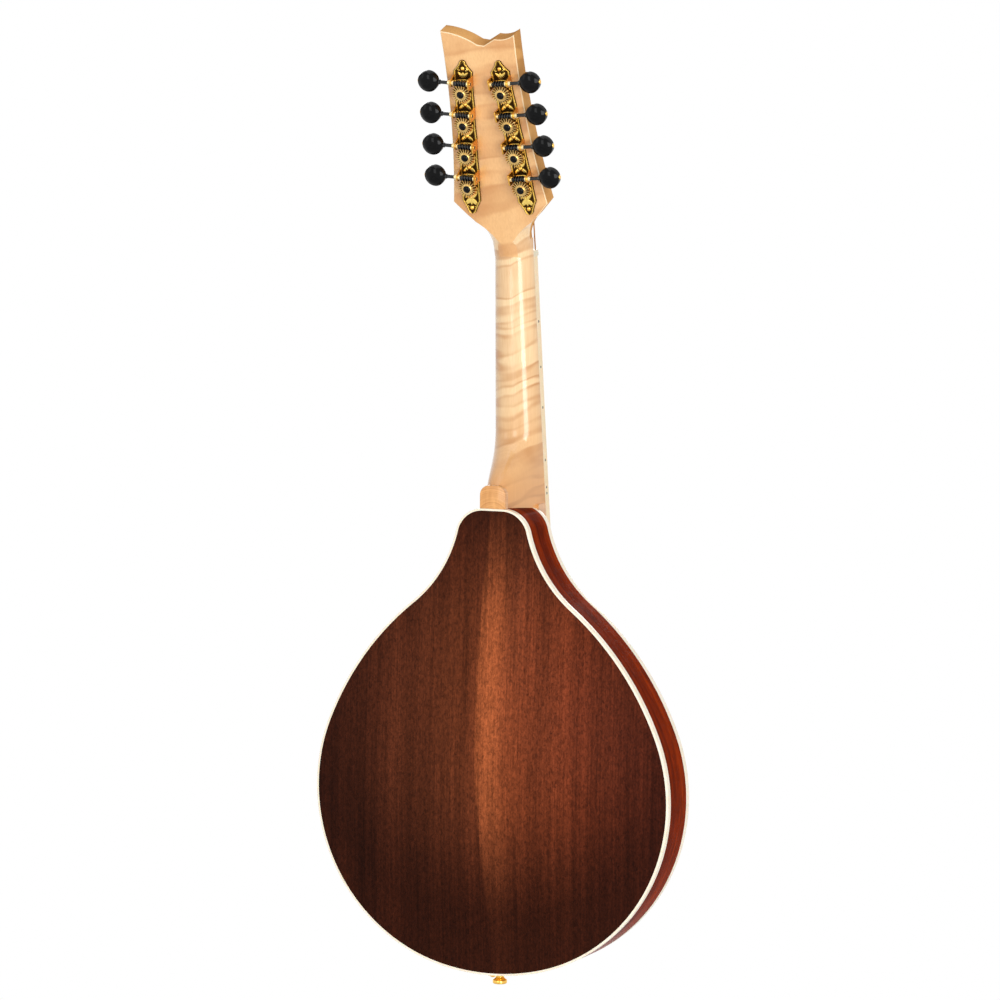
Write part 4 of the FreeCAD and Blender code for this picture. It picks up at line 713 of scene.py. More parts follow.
# Height of the top's outer face at a point, by the outline's distance in that direction.
def topFace(x, z):
    way = Vector((abs(x), z)) - archCentre
    angle = math.atan2(way.x, way.y)
    reach = 1.0
    middle = len(outerLoop) // 2
    for a, b in zip(outerLoop[:middle + 1], outerLoop[1:middle + 2]):
        a0 = math.atan2(abs(a[0]), a[1] - archCentre.y)
        b0 = math.atan2(abs(b[0]), b[1] - archCentre.y)
        if min(a0, b0) - tiny <= angle <= max(a0, b0) + tiny:
            share = (angle - a0) / (b0 - a0) if b0 != a0 else 0.0
            reach = (Vector(a).lerp(Vector(b), share) - archCentre).length
    return bodyShape["frontY"] - bodyShape["topArch"] * archShare(way.length, reach)


# Band round the body: section of (inset, y) points.
def sweptBand(section):
    loops = [outlineLoop(inset) for inset, y in section]
    count = len(loops[0])
    order = [(count // 2 + k) % count for k in range(count + 1)]
    rows = [[(loop[i][0], y, loop[i][1]) for i in order] for loop, (inset, y) in zip(loops, section)]
    runs = runsAlong([loops[0][i] for i in order])
    uvs = [(run, y) for inset, y in section + section[:1] for run in runs]
    return gridPart(rows + rows[:1], uvs=uvs)


def makeBody():
    shape = bodyShape
    y0, y1, height, thick = shape["frontY"], shape["backY"], shape["bindingHeight"], shape["bindingWidth"]
    back = archedPlate(shape["backArch"], y1, shape["backThick"])
    makePiece("backPlate", back, "back", replaces=["back_plate"])
    band = [(0, y0 + height), (0, y1 - height), (shape["ribThick"], y1 - height),
            (shape["ribThick"], y0 + height)]
    makePiece("ribs", sweptBand(band), "rib", replaces=["rib_sides"])
    for name, node, low, high in (("backBinding", "back_binding", y1 - height, y1),
                                  ("topBinding", "top_binding", y0, y0 + height)):
        rounded = edgeLevels(low, high, shape["bindingRound"], shape["bindingRound"])
        makePiece(name, sweptBand([(thick, low)] + rounded + [(thick, high)]), "binding",
                  replaces=[node])
    top = archedPlate(-shape["topArch"], y0, -shape["topThick"])
    top = makePiece("soundboard", top, "top", replaces=["top_plate"])
    cutPiece(top, slabPart(ovalLoop(0), -40, 30))


# The soundhole's outline, grown on all sides.
def ovalLoop(grow, count=96):
    wide, high = bodyShape["holeHalf"]
    return [((wide + grow) * c, bodyShape["holeZ"] + (high + grow) * s) for c, s in circle(1, count)]


rosetteShape = dict(
    margin=3.0, proud=0.04, deep=0.9,
    rings=(("rosetteEdge", 0.8, "ringDark"), ("rosetteLight", 0.6, "binding"),
           ("rosetteCentre", 2.2, "ringPearl"),
           ("rosetteLightOuter", 0.6, "binding"), ("rosetteEdgeOuter", 0.8, "ringDark")),
)


# Inlaid rings round the soundhole, laid on the arch.
def makeRosette():
    r = rosetteShape
    inner = r["margin"]
    for name, width, look in r["rings"]:
        rows = []
        for grow, sink in ((0, r["deep"]), (0, -r["proud"]), (width, -r["proud"]), (width, r["deep"])):
            rows.append([(x, topFace(x, z) + sink, z) for x, z in ovalLoop(inner + grow)])
        nodes = ["rosette"] if name == "rosetteCentre" else []
        makePiece(name, gridPart(rows + rows[:1], wrap=True), look, replaces=nodes)
        inner += width


makeBody()
makeRosette()
print("body made")


# Neck

neckShape = dict(
    boardThick=7.2, angle=4.9, headAngle=20.75, nutThick=4.5, faceDrop=1.2, joinDrop=179.0, nutHalf=14.5,
    taper=0.0257, depth=13.1, swell=0.14, lowShare=0.96, overlap=9.0, heelDepth=51.5, heelHalf=9.7,
    heelStart=126.0, heelEnd=172.0, heelTail=4.0, heelRound=0.6, headBlend=12.0, headSwell=1.5,
    buttonHalf=9.85, buttonHeight=16.7, buttonThick=5.0, buttonCorner=7.0, buttonBevel=0.5,
    riserEnd=-241.0, riserOverlap=0.5, riserSink=2.0, headThick=12.8, headLength=171.0, headBevel=1.0,
    frontBevel=0.35,
)
rodPocket = dict(radius=3.7, slotHalf=3.4, centreY=11.7, start=0.01, length=16.0, openY=-2.0)
tanNeck = math.tan(math.radians(neckShape["angle"]))
cosNeck = math.cos(math.radians(neckShape["angle"]))
neckFaceY = neckShape["boardThick"] / cosNeck
headRootY = neckFaceY + neckShape["nutThick"] * tanNeck + neckShape["faceDrop"]
neckFrame = turnAbout("X", -neckShape["angle"])
headFrame = shifted(0, headRootY, neckShape["nutThick"]) @ turnAbout("X", -neckShape["headAngle"])
mirror = Matrix.Diagonal((-1, 1, 1, 1))


def smoothStep(value):
    share = min(1.0, max(0.0, value))
    return share * share * (3 - 2 * share)


def neckHalfWidth(drop):
    return neckShape["nutHalf"] + neckShape["taper"] * max(0.0, drop)


# Section of the neck at a height: a flat face, then a half oval that squares off towards the heel.
def neckRow(z, count=49, fine=240):
    shape = neckShape
    highZ = shape["nutThick"] + shape["overlap"]
    heel = smoothStep((-z - shape["heelStart"]) / (shape["heelEnd"] - shape["heelStart"]))
    head = max(0.0, (z + shape["headBlend"]) / (highZ + shape["headBlend"])) ** 2
    depth = shape["depth"] * (1 + shape["swell"] * max(0.0, -z) / shape["joinDrop"])
    depth += (shape["heelDepth"] - depth) * heel + shape["headSwell"] * head
    half = neckHalfWidth(-z)
    low = half * shape["lowShare"]
    low += (shape["heelHalf"] - low) * heel
    roundness = 1 - (1 - shape["heelRound"]) * heel
    topY = neckFaceY + z * tanNeck
    line = []
    for k in range(fine + 1):
        c, s = math.cos(math.pi * k / fine), max(0.0, math.sin(math.pi * k / fine))
        rise = s ** roundness
        width = half + (low - half) * rise
        line.append((math.copysign(abs(c) ** roundness, c) * width, topY + depth * rise, z))
    return evenPoints(line, count)


# Open pocket for the truss rod's nut, behind the string nut.
def cutPocket(piece, steps=24):
    p = rodPocket
    edge = math.acos(p["slotHalf"] / p["radius"])
    around = []
    for k in range(steps + 1):
        angle = -edge + (math.pi + 2 * edge) * k / steps
        around.append((p["radius"] * math.cos(angle), p["centreY"] + p["radius"] * math.sin(angle)))
    around += [(-p["slotHalf"], p["openY"]), (p["slotHalf"], p["openY"])]
    rows = [[(x, y, z) for x, y in around] for z in (neckShape["nutThick"] + p["start"], p["length"])]
    cutPiece(piece, solidPart(rows), place=neckFrame)


def makeNeck(count=110):
    shape, joinZ = neckShape, bodyShape["topZ"]
    highZ = shape["nutThick"] + shape["overlap"]
    lowZ = joinZ - shape["heelTail"]
    shaft = solidPart([neckRow(highZ + (lowZ - highZ) * k / count) for k in range(count + 1)])
    neck = makePiece("neckShaft", shaft, "neck", replaces=["neck"])
    cutPocket(neck)
    neck.data.set_sharp_from_angle(angle=math.radians(35))
    neck.data.materials.append(finishes["head"])
    for face in neck.data.polygons:
        if face.center.z > shape["nutThick"] * mm and face.normal.y < -0.5:
            face.material_index = 1  # the face above the nut continues the headstock's
    half = shape["buttonHalf"]
    loop = [(-half, joinZ), (half, joinZ)]
    loop += roundedTop(half, joinZ + shape["buttonHeight"], shape["buttonCorner"], 12)
    backY = bodyShape["backY"]
    button = slabPart(loop, backY - shape["buttonThick"], backY, 0, shape["buttonBevel"])
    makePiece("heelCap", button, "heel")


# Neck extension under the fretboard, over the body.
def makeRiser(count=12):
    z0, z1 = neckShape["riserEnd"], bodyShape["topZ"] + neckShape["riserOverlap"]
    y0, y1 = neckFaceY + z0 * tanNeck, neckFaceY + z1 * tanNeck
    rows = []
    for k in range(count + 1):
        z = z0 + (z1 - z0) * k / count
        top = y0 + (y1 - y0) * k / count
        low, half = topFace(0, z) + neckShape["riserSink"], neckHalfWidth(-z)
        rows.append([(-half, low, z), (-half, top, z), (half, top, z), (half, low, z)])
    makePiece("neckExtension", solidPart(rows), "neck")


# Corners of the headstock's outline, (x, height) up to the flank, then (x, drop from its top).
headOutline = dict(
    foot=(14.6, -3.0), flare=((14.6, 9.0), (18.6, 21.6), (26.6, 30.8)), ear=(36.2, 41.2), flank=(29.4, 100.0),
    tip=(28.0, 0.0), crest=(13.0, 3.5), crestFoot=(1.2, 9.8), notch=(-3.9, 10.6), horn=(-12.6, 5.5),
    hornDip=(-19.5, 5.6), hornTip=(-28.0, 2.0),
)
# Height up the headstock, half width and depth of the round throat that opens into the flat slab
throatRows = ((-8.0, 14.62, 12.8), (8.0, 14.66, 12.85), (12.0, 15.5, 13.9), (17.0, 17.3, 15.8),
              (22.0, 20.5, 19.4),
              (27.0, 25.7, 27.0), (31.0, 33.0, 44.0))
throatShape = dict(front=-6.0, spread=2.2, deepen=1.5, step=0.2, above=9.0)
# How far a face's normal points to the back, and where it lies, tell which finish it takes.
headFaces = dict(flat=0.9, rounded=0.02, sideways=0.9995, throatTop=31.5, neckTop=9.0, bevel=0.5)


def headLoop():
    h, top = headOutline, neckShape["headLength"]
    names = ("tip", "crest", "crestFoot", "notch", "horn", "hornDip", "hornTip")
    tip, crest, crestFoot, notch, horn, hornDip, hornTip = ((h[name][0], top - h[name][1]) for name in names)
    left = {name: (-h[name][0], h[name][1]) for name in ("foot", "ear", "flank")}
    leftFlare = [(-x, z) for x, z in reversed(h["flare"])]
    loop = [h["foot"]] + arcThrough(*h["flare"], 14) + [h["flare"][2]]
    loop += arcThrough(h["ear"], h["flank"], tip, 26)
    loop += arcThrough(tip, crest, crestFoot, 12) + [crestFoot, notch, horn]
    loop += arcThrough(horn, hornDip, hornTip, 8)[1:]
    loop += arcThrough(hornTip, left["flank"], left["ear"], 26) + [left["ear"]]
    return loop + arcThrough(*leftFlare, 14) + [leftFlare[2], left["foot"]]


# Smooth values between the rows of a table, by the slopes at each row.
def between(table, z, column):
    k = 0
    while k < len(table) - 2 and table[k + 1][0] < z:
        k += 1

    def slope(i):
        a, b = table[max(0, i - 1)], table[min(len(table) - 1, i + 1)]
        return (b[column] - a[column]) / (b[0] - a[0])

    (z0, z1), (v0, v1) = (table[k][0], table[k + 1][0]), (table[k][column], table[k + 1][column])
    span = z1 - z0
    t = min(1.0, max(0.0, (z - z0) / span))
    return (v0 * (2 * t**3 - 3 * t**2 + 1) + slope(k) * span * (t**3 - 2 * t**2 + t)
            + v1 * (3 * t**2 - 2 * t**3) + slope(k + 1) * span * (t**3 - t**2))


# The space that the headstock fills: round at the neck, open above the ears.
def throatPart(levels=60, steps=72):
    s = throatShape
    low, high = throatRows[0][0], throatRows[-1][0]
    rows = []
    for k in range(levels + 1):
        z = low + (high - low) * k / levels
        half, depth = between(throatRows, z, 1), between(throatRows, z, 2)
        row = [(-half, s["front"], z)]
        for i in range(steps + 1):
            row.append((-half * math.cos(math.pi * i / steps), depth * math.sin(math.pi * i / steps), z))
        rows.append(row + [(half, s["front"], z)])
    wide = [(x * s["spread"], y * s["deepen"] if y > 0 else y, high + s["step"]) for x, y, z in rows[-1]]
    return solidPart(rows + [wide, [(x, y, neckShape["headLength"] + s["above"]) for x, y, z in wide]])


def makeHeadstock():
    slab = slabPart(headLoop(), 0, neckShape["headThick"], neckShape["frontBevel"], neckShape["headBevel"])
    head = makePiece("headstock", slab, "head", place=headFrame)
    cutPiece(head, throatPart(), "INTERSECT", headFrame)
    cutPocket(head)
    head.data.set_sharp_from_angle(angle=math.radians(26))
    edge, throat, bevel = 1, 2, 3
    for look in ("shadedHeadEdge", "neck", "headBevel"):
        head.data.materials.append(finishes[look])
    f, toHead = headFaces, headFrame.inverted()
    for face in head.data.polygons:
        spot, way = toHead @ (face.center / mm), toHead.to_3x3() @ face.normal
        if abs(way.y) < f["flat"]:
            curved = way.y > f["rounded"] and abs(spot.z) < f["throatTop"] and abs(way.x) < f["sideways"]
            # Bevel faces take the paler maple, a painted highlight.
            side = bevel if way.y > f["bevel"] else edge
            # Other side faces take the darker maple, painted shade.
            face.material_index = throat if curved or spot.z < f["neckTop"] else side


makeNeck()
makeRiser()
makeHeadstock()
print("neck and headstock made")


# Tuners

stripShape = dict(
    pitch=24.0, count=4, middleX=17.9, middleZ=90.5, tilt=4.2, half=7.3, waistHalf=6.85, halfLength=51.0,
    tip=(2.6, 8.5, 0.0, 0.0), foot=(3.6, 6.5, 3.6, 0.3), thick=1.2, earThick=1.1, earHalf=4.1, earRise=2.9,
    earCorner=1.2, earTopHalf=2.7, earFoot=0.3, earShoulder=1.6, earBevel=0.22, bushRadius=1.95,
    bushReach=1.4,
    bushOuter=2.0, bushInner=0.3, screwRadius=1.6, screwRise=0.9, screwSlot=0.35,
)
wormShape = dict(height=7.0, mesh=8.2, pitch=2.0, root=1.2, crest=2.45, rootWidth=1.0, crestWidth=0.45,
                 shaft=1.3)
gearShape = dict(
    teeth=20, outer=6.9, root=5.55, tipWidth=0.4, rootWidth=0.95, width=2.4, hub=3.6, bore=2.05, washer=3.4,
    washerThick=0.5, screw=2.75, screwRise=1.4, finStart=4.1, finDepth=1.5, lip=0.12, lipShare=0.98,
)
keyShape = dict(reach=24.0, half=7.6, thick=4.3, rim=1.6, neck=2.3, cap=1.5)
postShape = dict(
    radius=3.0, journal=2.3, reach=15.5, waist=2.6, waistStart=6.5, waistLength=5.0, bushing=4.2, flange=5.2,
)
stripFrame = (headFrame @ shifted(stripShape["middleX"], neckShape["headThick"], stripShape["middleZ"])
              @ turnAbout("Y", -stripShape["tilt"]))
tunerLifts = [((stripShape["count"] - 1) / 2 - index) * stripShape["pitch"]
              for index in range(stripShape["count"])]


def tunerFrame(index):
    return stripFrame @ shifted(0, 0, tunerLifts[index])


def sided(side):
    return mirror if side == "bass" else Matrix.Identity(4)


# One screw between each two tuners and one at each end.
def screwSpots():
    gap = (stripShape["pitch"] - gearShape["outer"] - wormShape["mesh"] - wormShape["crest"]) / 2
    end = stripShape["halfLength"] + stripShape["tip"][1] / 4
    return [end] + [lift - gearShape["outer"] - gap for lift in tunerLifts[:-1]] + [-end]


# Half width of the engraved plate against height, from its lower tip to its upper one.
def stripEdge(steps=102):
    s = stripShape
    ends = []
    for half, length, root, narrow in (s["foot"], s["tip"]):
        base, foot = s["halfLength"] + length - half, s["halfLength"] - root
        tip = [(half * math.sin(math.pi / 2 * k / 16), base + half * math.cos(math.pi / 2 * k / 16))
               for k in range(17)]
        middle = (0.44 * s["half"] + 0.56 * half, (foot + base) / 2)
        ends.append(tip + arcThrough((half, base), middle, (s["half"] - narrow, foot), 14)[1:])
    points = [(x, -z) for x, z in ends[0]]
    root = s["foot"][2]
    for k in range(steps + 1):
        z = root - s["halfLength"] + (2 * s["halfLength"] - root) * k / steps
        share = ((z + s["halfLength"]) / (s["halfLength"] / 2)) % 1.0
        points.append((s["half"] - (s["half"] - s["waistHalf"]) * (1 - (2 * share - 1) ** 2), z))
    return points + list(reversed(ends[1]))


carvingShape = dict(
    ropeIn=0.72, ropeHalf=0.55, ropePitch=1.15, ropeSlant=1.6, ropeDip=0.28, lineIn=1.62, lineHalf=0.16,
    lineHeight=0.45, groundIn=1.75, leafHeight=0.95, veinDepth=0.35, veinHalf=0.12, scrollHeight=0.85,
    thinning=0.35,
    crossDrop=9.6, crossTurns=(0.7, 2.44, -0.7, -2.44), crossLeaf=(6.2, 1.3), barX=-5.2, barLeaf=(10.4, 0.9),
    sideX=4.9, lowLeaf=(-3.6, 0.25, 4.4, 0.75), highLeaf=(1.0, -0.2, 3.4, 0.65), scrollX=3.6, scrollDrop=5.0,
    scrollRadius=1.25, scrollTurn=4.0, fanZ=46.5, fanTurns=((-0.75, 5.6), (0.0, 4.2), (0.75, 5.6)),
    fanHalf=1.25,
    endX=2.7, endZ=52.6, endRadius=1.1, endTurn=4.2,
)


# Height of one carved leaf, with its vein, at a point.
def leaf(x, z, cx, cz, angle, length, width):
    dx, dz = x - cx, z - cz
    u = dx * math.cos(angle) + dz * math.sin(angle)
    v = -dx * math.sin(angle) + dz * math.cos(angle)
    if not 0 < u < length:
        return 0.0
    edge = width * math.sin(math.pi * (u / length) ** 0.8) ** 0.8 + 0.02
    if abs(v) >= edge:
        return 0.0
    vein = carvingShape["veinDepth"] * math.exp(-(v / carvingShape["veinHalf"]) ** 2)
    return math.sqrt(1 - (v / edge) ** 2) * (1 - vein)


# Height of a round scroll that thins towards its end.
def scroll(x, z, cx, cz, radius, start, turn):
    dx, dz = x - cx, z - cz
    angle = (math.atan2(dz, dx) - start) * (1 if turn > 0 else -1) % (2 * math.pi)
    share = angle / abs(turn)
    if share > 1:
        return 0.0
    line = radius * (1 - carvingShape["thinning"] * share)
    offset = abs(math.hypot(dx, dz) - line) / (0.5 * (1 - 0.5 * share))
    return math.sqrt(1 - offset * offset) if offset < 1 else 0.0


# Leaves and scrolls of one plate: crossed leaves between the tuners, fans at the tips.
def carving():
    c, up = carvingShape, math.pi / 2
    leaves, scrolls = [], []
    for lift in tunerLifts:
        leaves += [(0, lift - c["crossDrop"], turn, *c["crossLeaf"]) for turn in c["crossTurns"]]
        for side in (-1, 1):
            scrolls.append((side * c["scrollX"], lift - c["scrollDrop"], c["scrollRadius"], up,
                            -side * c["scrollTurn"]))
            for rise, turn, length, width in (c["lowLeaf"], c["highLeaf"]):
                leaves.append((side * c["sideX"], lift + rise, up + side * turn, length, width))
        leaves.append((c["barX"], lift + wormShape["mesh"], 0.0, *c["barLeaf"]))
    for end in (-1, 1):
        leaves += [(0, end * c["fanZ"], end * up + turn, length, c["fanHalf"])
                   for turn, length in c["fanTurns"]]
        for side in (-1, 1):
            scrolls.append((side * c["endX"], end * c["endZ"], c["endRadius"], up * end,
                            -side * end * c["endTurn"]))
    return leaves, scrolls


# Height of the engraving at a point: rope border, fine line, then leaves on a dark ground.
def reliefAt(x, z, edge, run, leaves, scrolls):
    c, depth, best = carvingShape, edge - abs(x), 0.0
    rope = (depth - c["ropeIn"]) / c["ropeHalf"]
    if abs(rope) < 1:
        twist = math.sin(2 * math.pi * run / c["ropePitch"] + rope * c["ropeSlant"])
        best = math.sqrt(1 - rope * rope) * (1 - c["ropeDip"] + c["ropeDip"] * twist)
    line = abs(depth - c["lineIn"]) / c["lineHalf"]
    if line < 1:
        best = max(best, c["lineHeight"] * math.sqrt(1 - line * line))
    if depth > c["groundIn"]:
        for place in leaves:
            best = max(best, c["leafHeight"] * leaf(x, z, *place))
        for place in scrolls:
            best = max(best, c["scrollHeight"] * scroll(x, z, *place))
    return best


plateMesh = dict(
    step=0.42, columns=40, narrow=0.985, thinnest=0.02, rim=0.25, ground=0.05, height=0.5,
    rimLevels=(0.0, 0.2),
    gearClear=4.3, screwClear=1.75, clearLevel=0.15,
)


# Engraved plate as one closed mesh in its strip's frame, and the relief of each point.
def platePart():
    p, thick, edge = plateMesh, stripShape["thick"], stripEdge()
    leaves, scrolls = carving()
    clearings = [(lift, p["gearClear"]) for lift in tunerLifts] + [(spot, p["screwClear"])
                                                                   for spot in screwSpots()]
    whole = runsAlong(edge)[-1]
    count = int(whole / p["step"])
    rows, relief = [], []
    for i, (half, z) in enumerate(evenPoints(edge, count + 1)):
        half = max(p["thinnest"], half)
        row, levels = [(-half, 0, z), (-half, thick - p["rim"], z)], list(p["rimLevels"])
        for j in range(p["columns"] + 1):
            x = half * (2 * j / p["columns"] - 1) * p["narrow"]
            level = reliefAt(x, z, half, whole * i / count, leaves, scrolls)
            if any(math.hypot(x, z - spot) < reach for spot, reach in clearings):
                level = p["clearLevel"]
            row.append((x, thick - p["ground"] + p["height"] * level, z))
            levels.append(level)
        rows.append(row + [(half, thick - p["rim"], z), (half, 0, z)])
        relief += levels + list(reversed(p["rimLevels"]))
    return solidPart(rows), relief


# Bent-up ear in the strip's frame; the outer one narrows to a round top.
def earPart(lift, side):
    s, w = stripShape, wormShape
    outer = side > 0
    low = s["half"] - s["earThick"] if outer else -s["half"]
    half = s["earTopHalf"] if outer else s["earHalf"]
    wide, foot, shoulder = s["earHalf"], s["earFoot"], s["earShoulder"]
    loop = [(-wide, foot), (wide, foot), (wide, shoulder)]
    loop += roundedTop(half, w["height"] + s["earRise"], half - 0.1 if outer else s["earCorner"], 8)
    slab = slabPart(loop + [(-wide, shoulder)], low, low + s["earThick"], s["earBevel"], s["earBevel"])
    return movedPart(slab, Matrix(((0, 1, 0, 0), (0, 0, 1, 0), (1, 0, 0, lift + w["mesh"]), (0, 0, 0, 1))))


# Turned collars round the worm shaft, on both ears.
def bushParts(lift):
    s, w = stripShape, wormShape
    r, bore, reach = s["bushRadius"], w["shaft"] + 0.05, s["bushReach"]
    parts = []
    for side, outer in ((1, s["bushOuter"]), (-1, s["bushInner"])):
        length = reach + s["earThick"] + outer
        profile = [(bore, 0), (r - 0.25, 0), (r, 0.2), (r, reach * 0.45), (r * 0.82, reach * 0.6),
                   (r * 0.82, reach * 0.75), (r, reach), (r, length * 0.8), (r * 0.86, length * 0.86),
                   (r * 0.86, length * 0.93), (r * 0.9, length), (bore, length), (bore, 0)]
        spot = shifted(side * (s["half"] - s["earThick"] - reach), w["height"], lift + w["mesh"])
        parts.append(lathePart(profile, 32, spot @ turnAbout("Y", 90 * side)))
    return parts


def makeTunerPlates():
    s = stripShape
    part, relief = platePart()
    ears = [earPart(lift, side) for lift in tunerLifts for side in (1, -1)]
    bushes = [bush for lift in tunerLifts for bush in bushParts(lift)]
    dome = slottedDome(s["screwRadius"], s["screwRise"], s["screwSlot"])
    screws = []
    for side in sides:
        strip = sided(side) @ stripFrame
        plate = makePiece(side + "TunerPlate", part, "aged", sharp=60,
                          replaces=[side + "_tuner_plate"], place=strip)
        plate.data.attributes.new("relief", "FLOAT", "POINT").data.foreach_set("value", relief)
        makePiece(side + "TunerEars", ears, "warmGold", place=strip)
        makePiece(side + "TunerBushes", bushes, "paleGold", place=strip)
        screws += [movedPart(dome, strip @ shifted(0, s["thick"], z) @ turnAbout("X", -90))
                   for z in screwSpots()]
    makePiece("tunerScrews", screws, "gold", replaces=["tuner_screws"])


# Domed screw head about +Z, with a straight slot where one is wanted.
def slottedDome(radius, rise, slot, steps=40, rings=14, foot=-0.3, slotShare=0.45):
    ball = (radius * radius + rise * rise) / (2 * rise)
    rows = [[(x, y, foot) for x, y in circle(radius, steps)]]
    for i in range(rings, 0, -1):
        far = radius * i / rings
        height = math.sqrt(max(0.0, ball * ball - far * far)) - (ball - rise)
        row = []
        for x, y in circle(far, steps):
            cut = 1 - (abs(y) / slot) ** 4 if abs(y) < slot else 0.0
            row.append((x, y, height - cut * rise * slotShare))
        rows.append(row)
    return solidPart(rows)


# Thread and core about the X axis, in step with the gear's teeth.
def wormPart(stepsPerTurn=28):
    w = wormShape
    half = stripShape["half"] - stripShape["earThick"] - stripShape["bushReach"] - 0.1
    run = 2 * half - w["rootWidth"]
    steps = int(run / w["pitch"] * stepsPerTurn)
    root, edge, crest = w["root"] - 0.05, w["crest"] - 0.06, w["crest"]
    section = [(root, -w["rootWidth"] / 2), (edge, -w["crestWidth"] / 2), (crest, -w["crestWidth"] / 4)]
    section += [(radius, -offset) for radius, offset in reversed(section)]
    rows = []
    for i in range(steps + 1):
        middle = -run / 2 + run * i / steps
        angle = 2 * math.pi * middle / w["pitch"]
        rows.append([(middle + offset, radius * math.sin(angle), -radius * math.cos(angle))
                     for radius, offset in section])
    core = lathePart([(w["root"], -half), (w["root"], half)], 32, turnAbout("Y", 90))
    return [solidPart(rows), core], half


# Shaft, button and end cap of one treble tuner, about the X axis.
def keyParts():
    s, w, k = stripShape, wormShape, keyShape
    worm, half = wormPart()
    turned = turnAbout("Y", 90)
    shaft, near, tip = w["shaft"], k["reach"] - k["half"], k["reach"] + k["half"]
    inner = -(s["half"] + s["bushInner"])
    shafts = worm + [
        lathePart([(shaft - 0.2, inner), (shaft, inner + 0.2), (shaft, -half)], 32, turned),
        lathePart([(shaft, half), (shaft, near), (shaft + 0.5, near - 1.2), (shaft + 0.5, near - 0.4),
                   (shaft, near + 0.6)], 32, turned),
    ]
    crown = (k["half"] * 0.72, k["thick"] * 0.78)
    profile = [(0.0, k["thick"])] + arcThrough((0.0, k["thick"]), crown, (k["half"], k["rim"]), 14)[1:-1]
    profile += [(k["half"] - 0.12, k["rim"] + 0.45), (k["half"], k["rim"] * 0.5)]
    profile += [(x, -y) for x, y in reversed(profile)]
    button = lathePart(profile, 72, shifted(k["reach"], 0, 0) @ turnAbout("X", -90))
    neck = lathePart([(k["neck"] * 0.66, near - k["half"] * 0.15), (k["neck"] * 0.74, near + 0.2),
                      (k["neck"] * 0.86, near + 1.4), (k["neck"] * 1.05, near + 3.4)], 40, turned)
    cap = lathePart([(k["cap"], tip - 0.5), (k["cap"], tip + 0.1), (k["cap"] * 0.85, tip + 0.38),
                     (k["cap"] * 0.45, tip + 0.5), (0.02, tip + 0.5)], 32, turned)
    return shafts, [button, neck], cap


# Gear with slanted teeth whose gaps run inwards as radial grooves on its face, and its hub.
def gearParts():
    g, w = gearShape, wormShape
    pitchRadius = w["pitch"] * g["teeth"] / (2 * math.pi)
    twist = g["width"] * w["pitch"] / (2 * math.pi * (w["mesh"] - pitchRadius)) / pitchRadius
    root, tip = g["rootWidth"] / 2 / g["root"], g["tipWidth"] / 2 / g["outer"]
    step = 2 * math.pi / g["teeth"]
    gap = (step / 2 - root) * 0.9
    corners = []
    for i in range(g["teeth"]):
        centre = step * (i + 0.5)
        corners += [(centre - root - gap, g["root"], False), (centre - root, g["root"], False),
                    (centre - tip, g["outer"], True), (centre, g["outer"], True),
                    (centre + tip, g["outer"], True),
                    (centre + root, g["root"], False)]

    # One ring of the gear: round at a fixed radius, or toothed, with the gaps down to the valley.
    def ring(y, fixed=None, valley=None, shrink=1.0):
        turn = -(y - w["height"]) / g["width"] * twist
        row = []
        for angle, radius, crest in corners:
            far = radius * shrink if fixed is None else fixed
            if valley and not crest:
                far = valley
            row.append((far * math.sin(angle + turn), y, far * math.cos(angle + turn)))
        return row

    low, high = w["height"] - g["width"] / 2, w["height"] + g["width"] / 2
    floor, valley, lip = high - g["finDepth"], g["finStart"], high - g["lip"]
    rows = [ring(low, g["bore"]), ring(low), ring(floor), ring(floor, valley=valley),
            ring(lip, valley=valley),
            ring(high, valley=valley, shrink=g["lipShare"]), ring(high, valley - 0.25), ring(high, g["bore"])]
    hub = lathePart([(g["hub"], -(w["height"] - 1.25)), (g["hub"], 0)], 40,
                    shifted(0, w["height"], 0) @ turnAbout("X", -90))
    return [gridPart(rows, wrap=True), hub]


# Washer and screw on the gear, and the post with its bushing, all about the post's axis.
def postParts():
    g, w, p, thick = gearShape, wormShape, postShape, neckShape["headThick"]
    outward, inward = turnAbout("X", -90), turnAbout("X", 90)
    top = w["height"] + g["width"] / 2
    washer = lathePart([(1.0, 0), (g["washer"], 0), (g["washer"], 0.3), (g["washer"] - 0.25, 0.5), (2.7, 0.5),
                        (2.6, 0.35), (1.0, 0.35)], 48, shifted(0, top, 0) @ outward)
    screw = movedPart(slottedDome(g["screw"], g["screwRise"], 0.0),
                      shifted(0, top + g["washerThick"] - 0.1, 0) @ outward)
    r, waist, f = p["radius"], p["waist"], p["flange"]
    a, b, end = thick + p["waistStart"], thick + p["waistStart"] + p["waistLength"], thick + p["reach"]
    post = lathePart([(p["journal"], -stripShape["thick"]), (p["journal"], 0), (r, 0), (r, a - 0.8),
                      (waist, a),
                      (waist, b), (r, b + 0.6), (r, end - 0.7), (r - 0.25, end - 0.2), (r - 0.8, end),
                      (1.5, end),
                      (1.2, end - 0.35)], 48, inward)
    bushing = lathePart([(r + 0.05, thick - 0.05), (p["bushing"], thick - 0.05), (f, thick), (f, thick + 0.4),
                         (f - 0.5, thick + 0.85), (r + 0.5, thick + 1.0), (r + 0.05, thick + 0.9)], 48,
                         inward)
    return washer, screw, post, bushing


